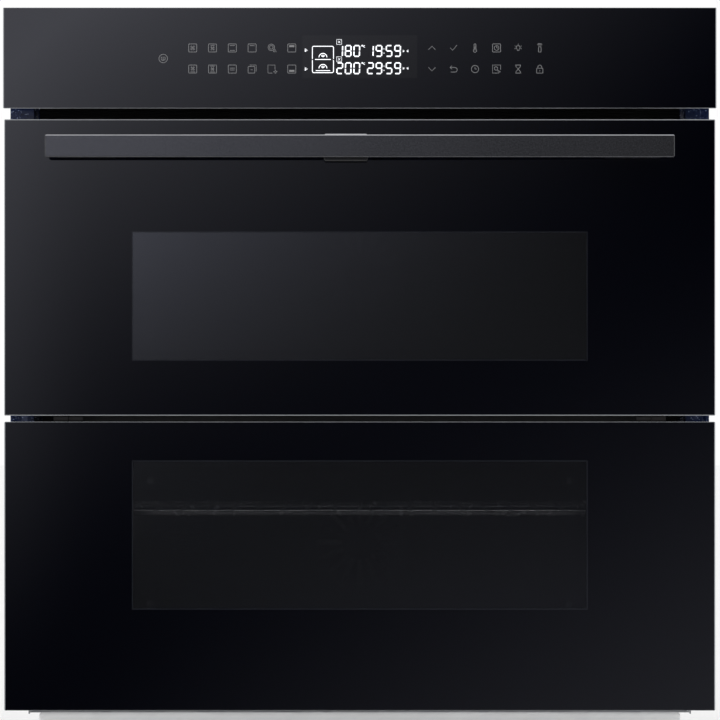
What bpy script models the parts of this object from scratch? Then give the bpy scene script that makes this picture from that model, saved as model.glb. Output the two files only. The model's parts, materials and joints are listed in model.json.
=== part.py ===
"""Built-in oven with a drop-down door that is split into an upper and a lower half.

The origin is the middle of the casing's underside. +Z is up and the door faces -Y.
The whole door turns on two hinges at its foot; the upper half also turns alone, on two
small hinges in the gap between the halves, once the lever in the handle is pulled.
"""
import math

import bmesh
import bpy
from mathutils import Matrix, Vector

# ---------------------------------------------------------------- sizes (metres)
FIT = 0.0003                # gap between pieces that touch
SHEET = 0.0010              # casing sheet
ENAMEL = 0.0012             # enamelled sheet of the cavity and the front frame
PANE = 0.0040               # outer glass
INNER_PANE = 0.0032         # inner glass

CAVITY_WIDTH = 0.4480
CAVITY_DEPTH = 0.4300
LOWER_GLASS_HEIGHT = 0.2409
UPPER_GLASS_HEIGHT = 0.2471
PANEL_HEIGHT = 0.0840
SPLIT_GAP = 0.0051          # between the two door glasses
OUTLET_GAP = 0.0092         # between door and control panel, where cooling air leaves
DOOR_LIFT = 0.0040          # door's lower edge above the shelf

CASING_SPACE = 0.0535       # cavity to the casing's outer face, each side
DOOR_OVERHANG = 0.0190      # door beyond the casing, each side
PANEL_OVERHANG = 0.0010     # control panel beyond the door, each side
PANEL_RISE = 0.0183         # control panel above the casing's top
GLASS_PROUD = 0.0225        # glass faces in front of the cabinet
RECESS = 0.0180             # front frame's plate behind the cabinet's front plane
REAR_SPACE = 0.0878         # cavity to the rear panel's outer face
TERMINAL_RISE = 0.0120      # terminal cover behind the rear panel
FLOOR_LIFT = 0.0480         # cavity floor above the door's lower edge
CEILING_DROP = 0.0491       # cavity ceiling below the upper glass's top edge

# places that follow from the sizes above
CAVITY_HALF = CAVITY_WIDTH / 2
BODY_HALF = CAVITY_HALF + CASING_SPACE
DOOR_HALF = BODY_HALF + DOOR_OVERHANG
PANEL_HALF = DOOR_HALF + PANEL_OVERHANG
CASING_DEPTH = RECESS + ENAMEL + CAVITY_DEPTH + REAR_SPACE
CABINET_Y = -CASING_DEPTH / 2

LOWER_TOP = DOOR_LIFT + LOWER_GLASS_HEIGHT
UPPER_BOTTOM = LOWER_TOP + SPLIT_GAP
SPLIT_Z = (LOWER_TOP + UPPER_BOTTOM) / 2
UPPER_TOP = UPPER_BOTTOM + UPPER_GLASS_HEIGHT
PANEL_BOTTOM = UPPER_TOP + OUTLET_GAP
PANEL_TOP = PANEL_BOTTOM + PANEL_HEIGHT
BODY_HEIGHT = PANEL_TOP - PANEL_RISE
CAVITY_FLOOR = DOOR_LIFT + FLOOR_LIFT
CAVITY_CEILING = UPPER_TOP - CEILING_DROP
CAVITY_MIDDLE = (CAVITY_FLOOR + CAVITY_CEILING) / 2


def deep(distance):
    """The y of a place so far behind the cabinet's front plane."""
    return CABINET_Y + distance


GLASS_FRONT = deep(-GLASS_PROUD)
GLASS_BACK = GLASS_FRONT + PANE
CAVITY_FRONT = deep(RECESS + ENAMEL)
CAVITY_BACK = CAVITY_FRONT + CAVITY_DEPTH
CASING_BACK = deep(CASING_DEPTH)

# front frame: a hat-shaped pressing whose brim lies on the cabinet
FRAME_EDGE_INSET = 0.0040   # brim's outer edge inside the door's edge
RECESS_INSET = 0.0035       # recess wall inside the casing's outer face
FRAME_BOTTOM = 0.0120
FRAME_RISE = 0.0230         # frame above the upper glass, behind the control panel
PLATE_BOTTOM_DROP = 0.0260  # plate's lower edge below the cavity floor
PLATE_TOP_RISE = 0.0440     # plate's upper edge above the cavity ceiling
FRAME_HALF = DOOR_HALF - FRAME_EDGE_INSET
RECESS_HALF = BODY_HALF - RECESS_INSET
PLATE_BOTTOM = CAVITY_FLOOR - PLATE_BOTTOM_DROP
PLATE_TOP = CAVITY_CEILING + PLATE_TOP_RISE
FIXING_HOLE = 0.0025        # radius of the cabinet screw holes

# door trays behind the outer glasses
GASKET_SPACE = 0.0075       # between the trays' backs and the front frame's plate
GASKET_WIDTH = 0.0070
GASKET_INSET = 0.0025       # cavity edge to gasket
TRAY_CLEARANCE = 0.0013     # to the recess wall, each side
TRAY_HALF = RECESS_HALF - ENAMEL - TRAY_CLEARANCE
TRAY_FRONT = GLASS_BACK + FIT
TRAY_BACK = deep(RECESS - GASKET_SPACE)
TRAY_HINGE_SPACE = 0.0045   # tray edge to the hinge line between the halves
LOWER_TRAY_BOTTOM = 0.0300
LOWER_TRAY_TOP = SPLIT_Z - TRAY_HINGE_SPACE
UPPER_TRAY_BOTTOM = SPLIT_Z + TRAY_HINGE_SPACE
UPPER_TRAY_TOP = UPPER_TOP - 0.0071
SIGHT_HALF = 0.2100         # opening of the trays, half width
UPPER_SIGHT = (UPPER_BOTTOM + 0.0545, UPPER_TOP - 0.0400)
LOWER_SIGHT = (DOOR_LIFT + 0.0700, LOWER_TOP - 0.0250)
PANE_LAP = 0.0100           # inner pane beyond the opening it closes

# main hinges at the door's foot
ARM_RADIUS = 0.0055
ARM_CLEARANCE = 0.0010      # arm to the back of the lower glass
MAIN_AXIS = (GLASS_BACK + ARM_RADIUS + ARM_CLEARANCE, 0.0150)
MAIN_HINGE_X = 0.2350
ARM_THICKNESS = 0.0050
MAIN_PIN = 0.0022
MAIN_BORE = 0.0027
CHEEK_THICKNESS = 0.0020
CHEEK_RADIUS = 0.0050
SOCKET_HALF = 0.0100
SOCKET_HEIGHT = 0.0238
SOCKET_LENGTH = 0.0730

# flex hinges between the halves
FLEX_AXIS = (GLASS_FRONT + 0.0020, SPLIT_Z)
FLEX_HINGE_X = 0.2430       # where the two leaves meet
FLEX_LEAF_WIDTH = 0.0120
FLEX_BARREL = 0.0021
FLEX_PIN = 0.0011
FLEX_BORE = 0.0014
FLEX_STRAP = (0.0009, 0.0021)
FLEX_STRAP_LENGTH = 0.0125
FLEX_FOOT_LENGTH = 0.0080

# handle, lever and latch rods
HANDLE_HALF = 0.2605
HANDLE_BOTTOM = UPPER_TOP - 0.0328
HANDLE_HEIGHT = 0.0185
HANDLE_DEPTH = 0.0120
HANDLE_PROUD = 0.0420       # bar's face in front of the glass
POST_INSET = 0.0085
POST_WIDTH = 0.0480
POST_SHY = 0.0010           # posts are this much lower than the bar, top and bottom
LEVER_X = -0.0116
LEVER_WIDTH = 0.0363
LEVER_RISE = 0.0013
LEVER_DROP = 0.0027
LEVER_GAP = 0.0050          # lever's face to the bar's back
LEVER_DEPTH = 0.0150
STEM_WIDTH = 0.0100
STEM_HEIGHT = 0.0060
STEM_HOLE_PLAY = 0.0010
ROD_X = 0.2620
ROD_WIDTH = 0.0080
ROD_THICKNESS = 0.0030
ROD_DEEP = 0.0040
ROD_SLOT_PLAY = 0.0008
NOSE_CLEARANCE = 0.0005     # rod's nose to the lower tray

# inside the cavity
RUNNER_X = CAVITY_HALF - 0.0105
POST_X = CAVITY_HALF - 0.0045
RUNNER_WIRE = 0.0020
RUNNER_LEVELS = 9
RUNNER_PITCH = 0.03835
RUNNER_FIRST = 0.0338       # lowest wire above the floor
RACK_LEVEL = 2
DIVIDER_LEVEL = 4
RUNNER_START = 0.0380       # first post behind the cavity's front edge
RUNNER_END = 0.0520         # last post in front of the cavity's back wall
RACK_ROD = 0.0025
RACK_WIRE = 0.0015
RACK_PITCH = 0.0214
RACK_WIRES = 19
RACK_START = 0.0150
RACK_END = 0.0720
DIVIDER_THICKNESS = 0.0120
DIVIDER_PLAY = 0.0010       # to the runners' posts
FAN_SPACE = 0.0280          # fan cover's plate in front of the back wall
COVER_HALF = 0.1900
COVER_HEIGHT = 0.1300
UPPER_COVER_BOTTOM = CAVITY_MIDDLE + 0.0600
LOWER_COVER_TOP = CAVITY_MIDDLE - 0.0540
FAN_RADIUS = 0.0460
RING_RADIUS = 0.0560
HEATER_TUBE = 0.0030
SHAFT = 0.0030
SHAFT_BORE = 0.0036
MOTOR_RADIUS = 0.0280
MOTOR_LENGTH = 0.0450
TAIL_LENGTH = 0.0160
TAIL_HOLE = 0.0045
INSULATION = 0.0240
INSULATION_FLOOR_GAP = 0.0125   # room for the bottom heater under the floor
LAMP_RADIUS = 0.0200
LAMP_BODY = 0.0150

# above the cavity
AIR_PLATE_Z = PLATE_TOP + 0.0005
BLOWER_RADIUS = 0.0700
BLOWER_HEIGHT = 0.0420
BLOWER_WHEEL = 0.0500
BLOWER_DEEP = 0.3950
BLOWER_MOTOR = 0.0240
CARRIER_INSET = 0.0275
CARRIER_MARGIN = 0.0040
DISPLAY_HALF = 0.0480
DISPLAY_HEIGHT = 0.0360
DISPLAY_DEPTH = 0.0080

UPPER_FAN_Z = UPPER_COVER_BOTTOM + COVER_HEIGHT / 2
LOWER_FAN_Z = LOWER_COVER_TOP - COVER_HEIGHT / 2

SIDES = (("left", -1), ("right", 1))
FANS = (("upper", UPPER_FAN_Z), ("lower", LOWER_FAN_Z))


# ---------------------------------------------------------------- finishes
FINISHES = {                # colour, roughness, metallic
    "black_glass": ((0.006, 0.006, 0.008), 0.06, 0.0),
    "clear_glass": ((0.10, 0.11, 0.11), 0.05, 0.0),
    "handle_metal": ((0.030, 0.031, 0.034), 0.38, 0.9),
    "black_paint": ((0.008, 0.008, 0.009), 0.45, 0.1),
    "navy_enamel": ((0.012, 0.018, 0.045), 0.22, 0.0),
    "galvanised": ((0.52, 0.53, 0.54), 0.40, 1.0),
    "steel": ((0.42, 0.42, 0.43), 0.32, 1.0),
    "chrome_wire": ((0.60, 0.60, 0.61), 0.18, 1.0),
    "heater_tube": ((0.10, 0.10, 0.10), 0.50, 0.7),
    "mineral_wool": ((0.55, 0.50, 0.38), 0.95, 0.0),
    "dark_seal": ((0.020, 0.020, 0.021), 0.80, 0.0),
    "black_plastic": ((0.012, 0.012, 0.013), 0.50, 0.0),
    "circuit_board": ((0.02, 0.10, 0.05), 0.55, 0.0),
    "lamp_glass": ((0.65, 0.66, 0.64), 0.10, 0.0),
}


def finish(name):
    """The material of that name, made on first use."""
    if name in bpy.data.materials:
        return bpy.data.materials[name]
    colour, roughness, metallic = FINISHES[name]
    material = bpy.data.materials.new(name)
    material.use_nodes = True
    shader = material.node_tree.nodes["Principled BSDF"]
    shader.inputs["Base Color"].default_value = (*colour, 1.0)
    shader.inputs["Roughness"].default_value = roughness
    shader.inputs["Metallic"].default_value = metallic
    material.diffuse_color = (*colour, 1.0)
    return material


# ---------------------------------------------------------------- scene and tools
def clear_scene():
    for thing in list(bpy.data.objects):
        bpy.data.objects.remove(thing, do_unlink=True)
    for name in ("wall_oven", "cutters"):
        if name not in bpy.data.collections:
            group = bpy.data.collections.new(name)
            bpy.context.scene.collection.children.link(group)


def link(name, data, look=None):
    """A new object in the oven's collection."""
    thing = bpy.data.objects.new(name, data)
    bpy.data.collections["wall_oven"].objects.link(thing)
    if look:
        data.materials.clear()
        data.materials.append(finish(look))
    return thing


def make_tool(thing):
    """Turns a shape into a hidden cutter or a hidden shape to be joined on."""
    bpy.data.collections["wall_oven"].objects.unlink(thing)
    bpy.data.collections["cutters"].objects.link(thing)
    thing.hide_render = True
    thing.display_type = "WIRE"


def boolean(target, tools, operation):
    for tool in tools:
        make_tool(tool)
        modifier = target.modifiers.new(tool.name, "BOOLEAN")
        modifier.operation = operation
        modifier.object = tool
        modifier.solver = "EXACT"
    return target


def cut(target, *tools):
    return boolean(target, tools, "DIFFERENCE")


def join(target, *tools):
    return boolean(target, tools, "UNION")


def soften(thing, width, segments=2):
    modifier = thing.modifiers.new("soften", "BEVEL")
    modifier.width = width
    modifier.segments = segments
    modifier.limit_method = "ANGLE"
    return thing


def block(name, low, high, look=None, turn=0.0, turn_axis="Z"):
    """A box between two corners, turned about its own middle where turn is given."""
    size = Vector(high) - Vector(low)
    mesh = bpy.data.meshes.new(name)
    shape = bmesh.new()
    bmesh.ops.create_cube(shape, size=1.0, matrix=Matrix.Diagonal((*size, 1.0)))
    shape.to_mesh(mesh)
    shape.free()
    thing = link(name, mesh, look)
    thing.location = (Vector(high) + Vector(low)) / 2
    thing.rotation_euler = Matrix.Rotation(turn, 3, turn_axis).to_euler()
    return thing


AXIS_TURNS = {              # carries local Z to the named axis
    "X": Matrix(((0, 0, 1), (1, 0, 0), (0, 1, 0))),
    "Y": Matrix(((1, 0, 0), (0, 0, -1), (0, 1, 0))),
    "Z": Matrix.Identity(3),
}


def drum(name, centre, axis, radius, length, look=None, segments=24):
    """A cylinder about its centre."""
    mesh = bpy.data.meshes.new(name)
    shape = bmesh.new()
    bmesh.ops.create_cone(shape, cap_ends=True, segments=segments, radius1=radius,
                          radius2=radius, depth=length)
    shape.to_mesh(mesh)
    shape.free()
    smooth(mesh)
    thing = link(name, mesh, look)
    thing.location = centre
    thing.rotation_euler = AXIS_TURNS[axis].to_euler()
    return thing


def smooth(mesh):
    mesh.shade_smooth()
    mesh.set_sharp_from_angle(angle=math.radians(35))


def turned(name, profile, centre, axis, look, steps=24):
    """A turned piece. The profile of (radius, height) runs down its outer side."""
    mesh = bpy.data.meshes.new(name)
    points = [(radius, 0.0, height) for radius, height in profile]
    edges = [(i, i + 1) for i in range(len(points) - 1)]
    if profile[0][0] > 0:
        edges.append((len(points) - 1, 0))
    mesh.from_pydata(points, edges, [])
    thing = link(name, mesh, look)
    screw = thing.modifiers.new("turn", "SCREW")
    screw.axis = "Z"
    screw.steps = screw.render_steps = steps
    screw.use_merge_vertices = True
    screw.merge_threshold = 0.00005
    screw.use_smooth_shade = True
    thing.location = centre
    thing.rotation_euler = AXIS_TURNS[axis].to_euler()
    return thing


def curve_to_mesh(thing, look):
    """Replaces a curve object by its mesh, with its caps welded on."""
    bpy.context.view_layer.update()
    evaluated = thing.evaluated_get(bpy.context.evaluated_depsgraph_get())
    mesh = bpy.data.meshes.new_from_object(evaluated)
    shape = bmesh.new()
    shape.from_mesh(mesh)
    bmesh.ops.remove_doubles(shape, verts=shape.verts, dist=0.00001)
    bmesh.ops.recalc_face_normals(shape, faces=shape.faces)
    shape.to_mesh(mesh)
    shape.free()
    smooth(mesh)
    name = thing.name
    place = thing.matrix_world.copy()
    bpy.data.objects.remove(thing, do_unlink=True)
    mesh.name = name
    solid = link(name, mesh, look)
    solid.matrix_world = place
    return solid


def plate(name, outlines, axis, start, end, look=None):
    """A flat outline, with any holes after it, drawn out along an axis.

    Points are (y, z) for axis X, (x, z) for axis Y and (x, y) for axis Z.
    """
    curve = bpy.data.curves.new(name, "CURVE")
    curve.dimensions = "2D"
    curve.fill_mode = "BOTH"
    curve.extrude = (end - start) / 2
    for outline in outlines:
        spline = curve.splines.new("POLY")
        spline.points.add(len(outline) - 1)
        spline.use_cyclic_u = True
        for point, (across, up) in zip(spline.points, outline):
            point.co = (across, up, 0.0, 1.0)
    thing = bpy.data.objects.new(name + "_outline", curve)
    bpy.data.collections["wall_oven"].objects.link(thing)
    thing.rotation_euler = AXIS_TURNS[axis].to_euler()
    thing.location["XYZ".index(axis)] = (start + end) / 2
    solid = curve_to_mesh(thing, look)
    solid.name = name
    return solid


def tube(name, points, radius, look=None, closed=False, resolution=2):
    """A round wire or rod along a line of points."""
    curve = bpy.data.curves.new(name, "CURVE")
    curve.dimensions = "3D"
    curve.bevel_depth = radius
    curve.bevel_resolution = resolution
    curve.use_fill_caps = not closed
    spline = curve.splines.new("POLY")
    spline.points.add(len(points) - 1)
    spline.use_cyclic_u = closed
    for point, place in zip(spline.points, points):
        point.co = (*place, 1.0)
    thing = bpy.data.objects.new(name + "_line", curve)
    bpy.data.collections["wall_oven"].objects.link(thing)
    solid = curve_to_mesh(thing, look)
    solid.name = name
    return solid


def rectangle(low, high):
    return [(low[0], low[1]), (high[0], low[1]), (high[0], high[1]), (low[0], high[1])]


def round_rectangle(low, high, radius, steps=3):
    """A rectangle with round corners, anticlockwise."""
    corners = (((high[0] - radius, high[1] - radius), 0), ((low[0] + radius, high[1] - radius), 90),
               ((low[0] + radius, low[1] + radius), 180), ((high[0] - radius, low[1] + radius), 270))
    points = []
    for (across, up), first in corners:
        for step in range(steps + 1):
            angle = math.radians(first + 90 * step / steps)
            points.append((across + radius * math.cos(angle), up + radius * math.sin(angle)))
    return points


def circle(centre, radius, steps=24):
    return [(centre[0] + radius * math.cos(2 * math.pi * i / steps),
             centre[1] + radius * math.sin(2 * math.pi * i / steps)) for i in range(steps)]


def slot_row(first, last, count, length, width):
    """Upright slots evenly spaced between two places in one row."""
    holes = []
    for i in range(count):
        across = first[0] + (last[0] - first[0]) * i / (count - 1)
        up = first[1] + (last[1] - first[1]) * i / (count - 1)
        holes.append(rectangle((across - width / 2, up - length / 2), (across + width / 2, up + length / 2)))
    return holes


def hang(things, axis_name, place, parent=None):
    """Parents pieces to an empty on their joint's axis, without moving them."""
    pivot = bpy.data.objects.new(axis_name, None)
    bpy.data.collections["wall_oven"].objects.link(pivot)
    pivot.location = place
    if parent:
        pivot.parent = parent
        pivot.matrix_parent_inverse = Matrix.Translation(-parent.matrix_world.translation)
    bpy.context.view_layer.update()
    for thing in things:
        thing.parent = pivot
        thing.matrix_parent_inverse = Matrix.Translation(-Vector(place))
    return pivot


# ---------------------------------------------------------------- casing
def folded_sheet(name, half, base_z, lip, start, end, look):
    """A sheet whose two long edges are folded up, or down where lip is negative."""
    inner = half - SHEET
    step = math.copysign(SHEET, lip)
    outline = [(-half, base_z), (half, base_z), (half, base_z + lip), (inner, base_z + lip),
               (inner, base_z + step), (-inner, base_z + step), (-inner, base_z + lip), (-half, base_z + lip)]
    return plate(name, [outline], "Y", start, end, look)


def make_casing():
    lip = 0.012
    inner_half = BODY_HALF - SHEET - FIT
    sheet_end = CASING_BACK - SHEET - FIT
    folded_sheet("base_pan", inner_half, 0.0, lip, deep(0.020), sheet_end, "galvanised")
    folded_sheet("top_cover", inner_half, BODY_HEIGHT, -lip, deep(0.002), sheet_end, "galvanised")

    slot_length, slot_width = 0.030, 0.004
    for side, sign in SIDES:
        outline = rectangle((deep(FIT), 0.0), (CASING_BACK, BODY_HEIGHT))
        slots = slot_row((deep(0.30), BODY_HEIGHT - 0.045), (deep(0.46), BODY_HEIGHT - 0.045), 9,
                         slot_length, slot_width)
        slots += slot_row((deep(0.10), 0.030), (deep(0.20), 0.030), 6, slot_length, slot_width)
        inner, outer = sorted((sign * (BODY_HALF - SHEET), sign * BODY_HALF))
        plate("side_panel_" + side, [outline] + slots, "X", inner, outer, "galvanised")

    outline = rectangle((-inner_half, 0.0), (inner_half, BODY_HEIGHT))
    slots = slot_row((-0.20, BODY_HEIGHT - 0.045), (-0.02, BODY_HEIGHT - 0.045), 10, slot_length, slot_width)
    slots += slot_row((-0.12, 0.050), (0.12, 0.050), 13, slot_length, slot_width)
    plate("rear_panel", [outline] + slots, "Y", CASING_BACK - SHEET, CASING_BACK, "galvanised")

    cover_half, cover_low, cover_high = 0.045, BODY_HEIGHT - 0.082, BODY_HEIGHT - 0.022
    cover = block("terminal_cover", (0.20 - cover_half, CASING_BACK + FIT, cover_low),
                  (0.20 + cover_half, CASING_BACK + TERMINAL_RISE, cover_high), "black_plastic")
    knockout = drum("cable_inlet", (0.20, CASING_BACK + TERMINAL_RISE, cover_low + 0.016), "Y", 0.007, 0.004)
    cut(soften(cover, 0.002), knockout)


def make_front_frame():
    wall = RECESS_HALF - ENAMEL
    front, back = deep(-ENAMEL), deep(0.0)
    step, rear = deep(RECESS), deep(RECESS + ENAMEL)
    hat = [(-FRAME_HALF, front), (-wall, front), (-wall, step), (wall, step), (wall, front),
           (FRAME_HALF, front), (FRAME_HALF, back), (RECESS_HALF, back), (RECESS_HALF, rear),
           (-RECESS_HALF, rear), (-RECESS_HALF, back), (-FRAME_HALF, back)]
    frame = plate("front_frame", [hat], "Z", FRAME_BOTTOM, UPPER_TOP + FRAME_RISE, "navy_enamel")
    clear = 0.004
    mouth = plate("mouth", [round_rectangle((-CAVITY_HALF, CAVITY_FLOOR), (CAVITY_HALF, CAVITY_CEILING), 0.012)],
                  "Y", step - clear, rear + clear)
    inlet = block("inlet", (-wall + clear, step - clear, 0.0), (wall - clear, rear + clear, PLATE_BOTTOM))
    outlet = block("outlet", (-wall + clear, step - clear, PLATE_TOP),
                   (wall - clear, rear + clear, UPPER_TOP + FRAME_RISE + clear))
    cut(frame, mouth, inlet, outlet)
    for side, sign in SIDES:
        for level, height in (("low", 0.090), ("high", UPPER_TOP - 0.067)):
            place = (sign * (FRAME_HALF + BODY_HALF) / 2, back, height)
            cut(frame, drum("fixing_" + level + "_" + side, place, "Y", FIXING_HOLE, 0.006, segments=12))

    member_half = RECESS_HALF - 0.006
    plate("front_crossmember", [rectangle((-member_half, UPPER_TOP + 0.0115), (member_half, PANEL_TOP - 0.008))],
          "Y", deep(0.0), deep(SHEET), "galvanised")


# ---------------------------------------------------------------- cavity
def make_cavity():
    outer = CAVITY_HALF + ENAMEL
    start, end = CAVITY_FRONT + FIT, CAVITY_BACK - FIT
    block("cavity_floor", (-outer, start, CAVITY_FLOOR - ENAMEL), (outer, end, CAVITY_FLOOR), "navy_enamel")
    block("cavity_ceiling", (-outer, start, CAVITY_CEILING), (outer, end, CAVITY_CEILING + ENAMEL), "navy_enamel")
    for side, sign in SIDES:
        inner, outside = sorted((sign * CAVITY_HALF, sign * outer))
        wall = [rectangle((start, CAVITY_FLOOR + FIT), (end, CAVITY_CEILING - FIT))]
        if sign < 0:
            wall += [circle(lamp_place(height), LAMP_BODY + FIT) for _, height in FANS]
        plate("cavity_wall_" + side, wall, "X", inner, outside, "navy_enamel")

    holes = []
    for _, height in FANS:
        holes.append(circle((0.0, height), SHAFT + 0.001, 12))
        holes += [circle(place, TAIL_HOLE, 12) for place in tail_places(height)]
    back = rectangle((-outer, CAVITY_FLOOR - ENAMEL), (outer, CAVITY_CEILING + ENAMEL))
    plate("cavity_back_wall", [back] + holes, "Y", CAVITY_BACK, CAVITY_BACK + ENAMEL, "navy_enamel")

    inner, outside = GASKET_INSET, GASKET_INSET + GASKET_WIDTH
    ring = [round_rectangle((-CAVITY_HALF - reach, CAVITY_FLOOR - reach),
                            (CAVITY_HALF + reach, CAVITY_CEILING + reach), 0.012 + reach)
            for reach in (outside, inner)]
    plate("door_gasket", ring, "Y", TRAY_BACK + FIT, deep(RECESS) - FIT, "dark_seal")


def make_insulation():
    low_in, high_in = CAVITY_FLOOR - INSULATION_FLOOR_GAP, CAVITY_CEILING + ENAMEL + FIT
    half_in = CAVITY_HALF + ENAMEL + FIT
    wool_low = SHEET + SOCKET_HEIGHT + 2 * FIT      # it lies on the hinge sockets
    side_wool = INSULATION
    start, back = CAVITY_FRONT + 0.003, CAVITY_BACK + ENAMEL + FIT
    holes = [circle((0.0, height), RING_RADIUS + 0.008) for _, height in FANS]
    outline = rectangle((-half_in - side_wool, wool_low), (half_in + side_wool, high_in + side_wool))
    wool = plate("insulation_wrap", [outline] + holes, "Y", start, back + side_wool, "mineral_wool")
    cut(wool, block("cavity_space", (-half_in, start - 0.01, low_in), (half_in, back, high_in)))
    for name, height in FANS:
        y, z = lamp_place(height)
        cut(wool, drum("lamp_space_" + name, (-half_in - side_wool / 2, y, z), "X", LAMP_BODY + 0.001, side_wool * 2))


def runner_height(level):
    return CAVITY_FLOOR + RUNNER_FIRST + RUNNER_PITCH * level


def make_runners():
    first, last = CAVITY_FRONT + RUNNER_START, CAVITY_BACK - RUNNER_END
    bottom, top = runner_height(0) - 0.018, runner_height(RUNNER_LEVELS - 1) + 0.018
    bend = POST_X - RUNNER_X
    for side, sign in SIDES:
        post = tube("side_runner_" + side, [(sign * POST_X, first, bottom), (sign * POST_X, first, top)],
                    RUNNER_WIRE, "chrome_wire")
        join(post, tube("rear_post_" + side, [(sign * POST_X, last, bottom), (sign * POST_X, last, top)],
                        RUNNER_WIRE))
        for level in range(RUNNER_LEVELS):
            height = runner_height(level)
            line = [(sign * POST_X, first, height), (sign * RUNNER_X, first + bend, height),
                    (sign * RUNNER_X, last - bend, height), (sign * POST_X, last, height)]
            join(post, tube(f"rail_{side}_{level}", line, RUNNER_WIRE * 0.95, resolution=1))


def make_rack():
    height = runner_height(RACK_LEVEL) + RUNNER_WIRE + FIT + RACK_ROD
    start, end = CAVITY_FRONT + RACK_START, CAVITY_BACK - RACK_END
    bend = 0.012
    loop = [(-RUNNER_X, start + bend, height), (-RUNNER_X + bend, start, height),
            (RUNNER_X - bend, start, height), (RUNNER_X, start + bend, height),
            (RUNNER_X, end - bend, height), (RUNNER_X - bend, end, height),
            (-RUNNER_X + bend, end, height), (-RUNNER_X, end - bend, height)]
    rack = tube("wire_rack", loop, RACK_ROD, "chrome_wire", closed=True)
    middle = start + (end - start) * 0.66
    join(rack, tube("rack_middle", [(-RUNNER_X, middle, height), (RUNNER_X, middle, height)], RACK_ROD * 0.9))
    wire_height = height + RACK_ROD + RACK_WIRE - 0.0006
    for i in range(RACK_WIRES):
        across = RACK_PITCH * (i - (RACK_WIRES - 1) / 2)
        line = [(across, start - RACK_ROD * 0.6, wire_height), (across, end + RACK_ROD * 0.6, wire_height)]
        join(rack, tube(f"rack_wire_{i}", line, RACK_WIRE, resolution=1))


def make_divider():
    half = POST_X - RUNNER_WIRE - DIVIDER_PLAY
    low = runner_height(DIVIDER_LEVEL) + RUNNER_WIRE + FIT
    front, back = CAVITY_FRONT + 0.004, CAVITY_BACK - FAN_SPACE - ENAMEL - 0.004
    slab = block("divider", (-half, front, low), (half, back, low + DIVIDER_THICKNESS), "navy_enamel")
    soften(slab, 0.002)
    air = block("divider_air", (-half + 2 * SHEET, front + 2 * SHEET, low + SHEET),
                (half - 2 * SHEET, back - 2 * SHEET, low + DIVIDER_THICKNESS - SHEET))
    vent = drum("divider_vent", (0.0, back, low + DIVIDER_THICKNESS / 2), "Y", 0.002, 6 * SHEET, segments=8)
    cut(slab, air, vent)


# ---------------------------------------------------------------- fans, heaters and lamps
def tail_places(height):
    """Where a ring heater's two ends pass through the back wall."""
    spread = math.radians(20)
    return [(RING_RADIUS * math.sin(turn), height - RING_RADIUS * math.cos(turn)) for turn in (-spread, spread)]


def lamp_place(height):
    return (CAVITY_BACK - 0.110, height + 0.020)


def fan_cover_outline(low, high, flare):
    """A cover that widens over its last stretch, at its foot or, with a negative flare, at its head."""
    reach = abs(flare)
    wide = COVER_HALF + 0.009
    if flare > 0:
        return [(-wide, low), (wide, low), (wide, low + 0.004), (COVER_HALF, low + reach),
                (COVER_HALF, high), (-COVER_HALF, high), (-COVER_HALF, low + reach), (-wide, low + 0.004)]
    return [(-COVER_HALF, low), (COVER_HALF, low), (COVER_HALF, high - reach), (wide, high - 0.004),
            (wide, high), (-wide, high), (-wide, high - 0.004), (-COVER_HALF, high - reach)]


def grille(centre, spokes=16):
    """Radial air slots, and a row of slots at each side."""
    holes = []
    for i in range(spokes):
        angle = 2 * math.pi * i / spokes
        along = Vector((math.cos(angle), math.sin(angle)))
        across = Vector((-along.y, along.x)) * 0.0022
        middle = Vector(centre)
        near, far = middle + along * 0.016, middle + along * 0.038
        holes.append([tuple(near - across), tuple(far - across), tuple(far + across), tuple(near + across)])
    for sign in (-1, 1):
        edge = sign * (COVER_HALF - 0.020)
        holes += slot_row((edge, centre[1] - 0.040), (edge, centre[1] + 0.040), 6, 0.004, 0.016)
    return holes


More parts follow.
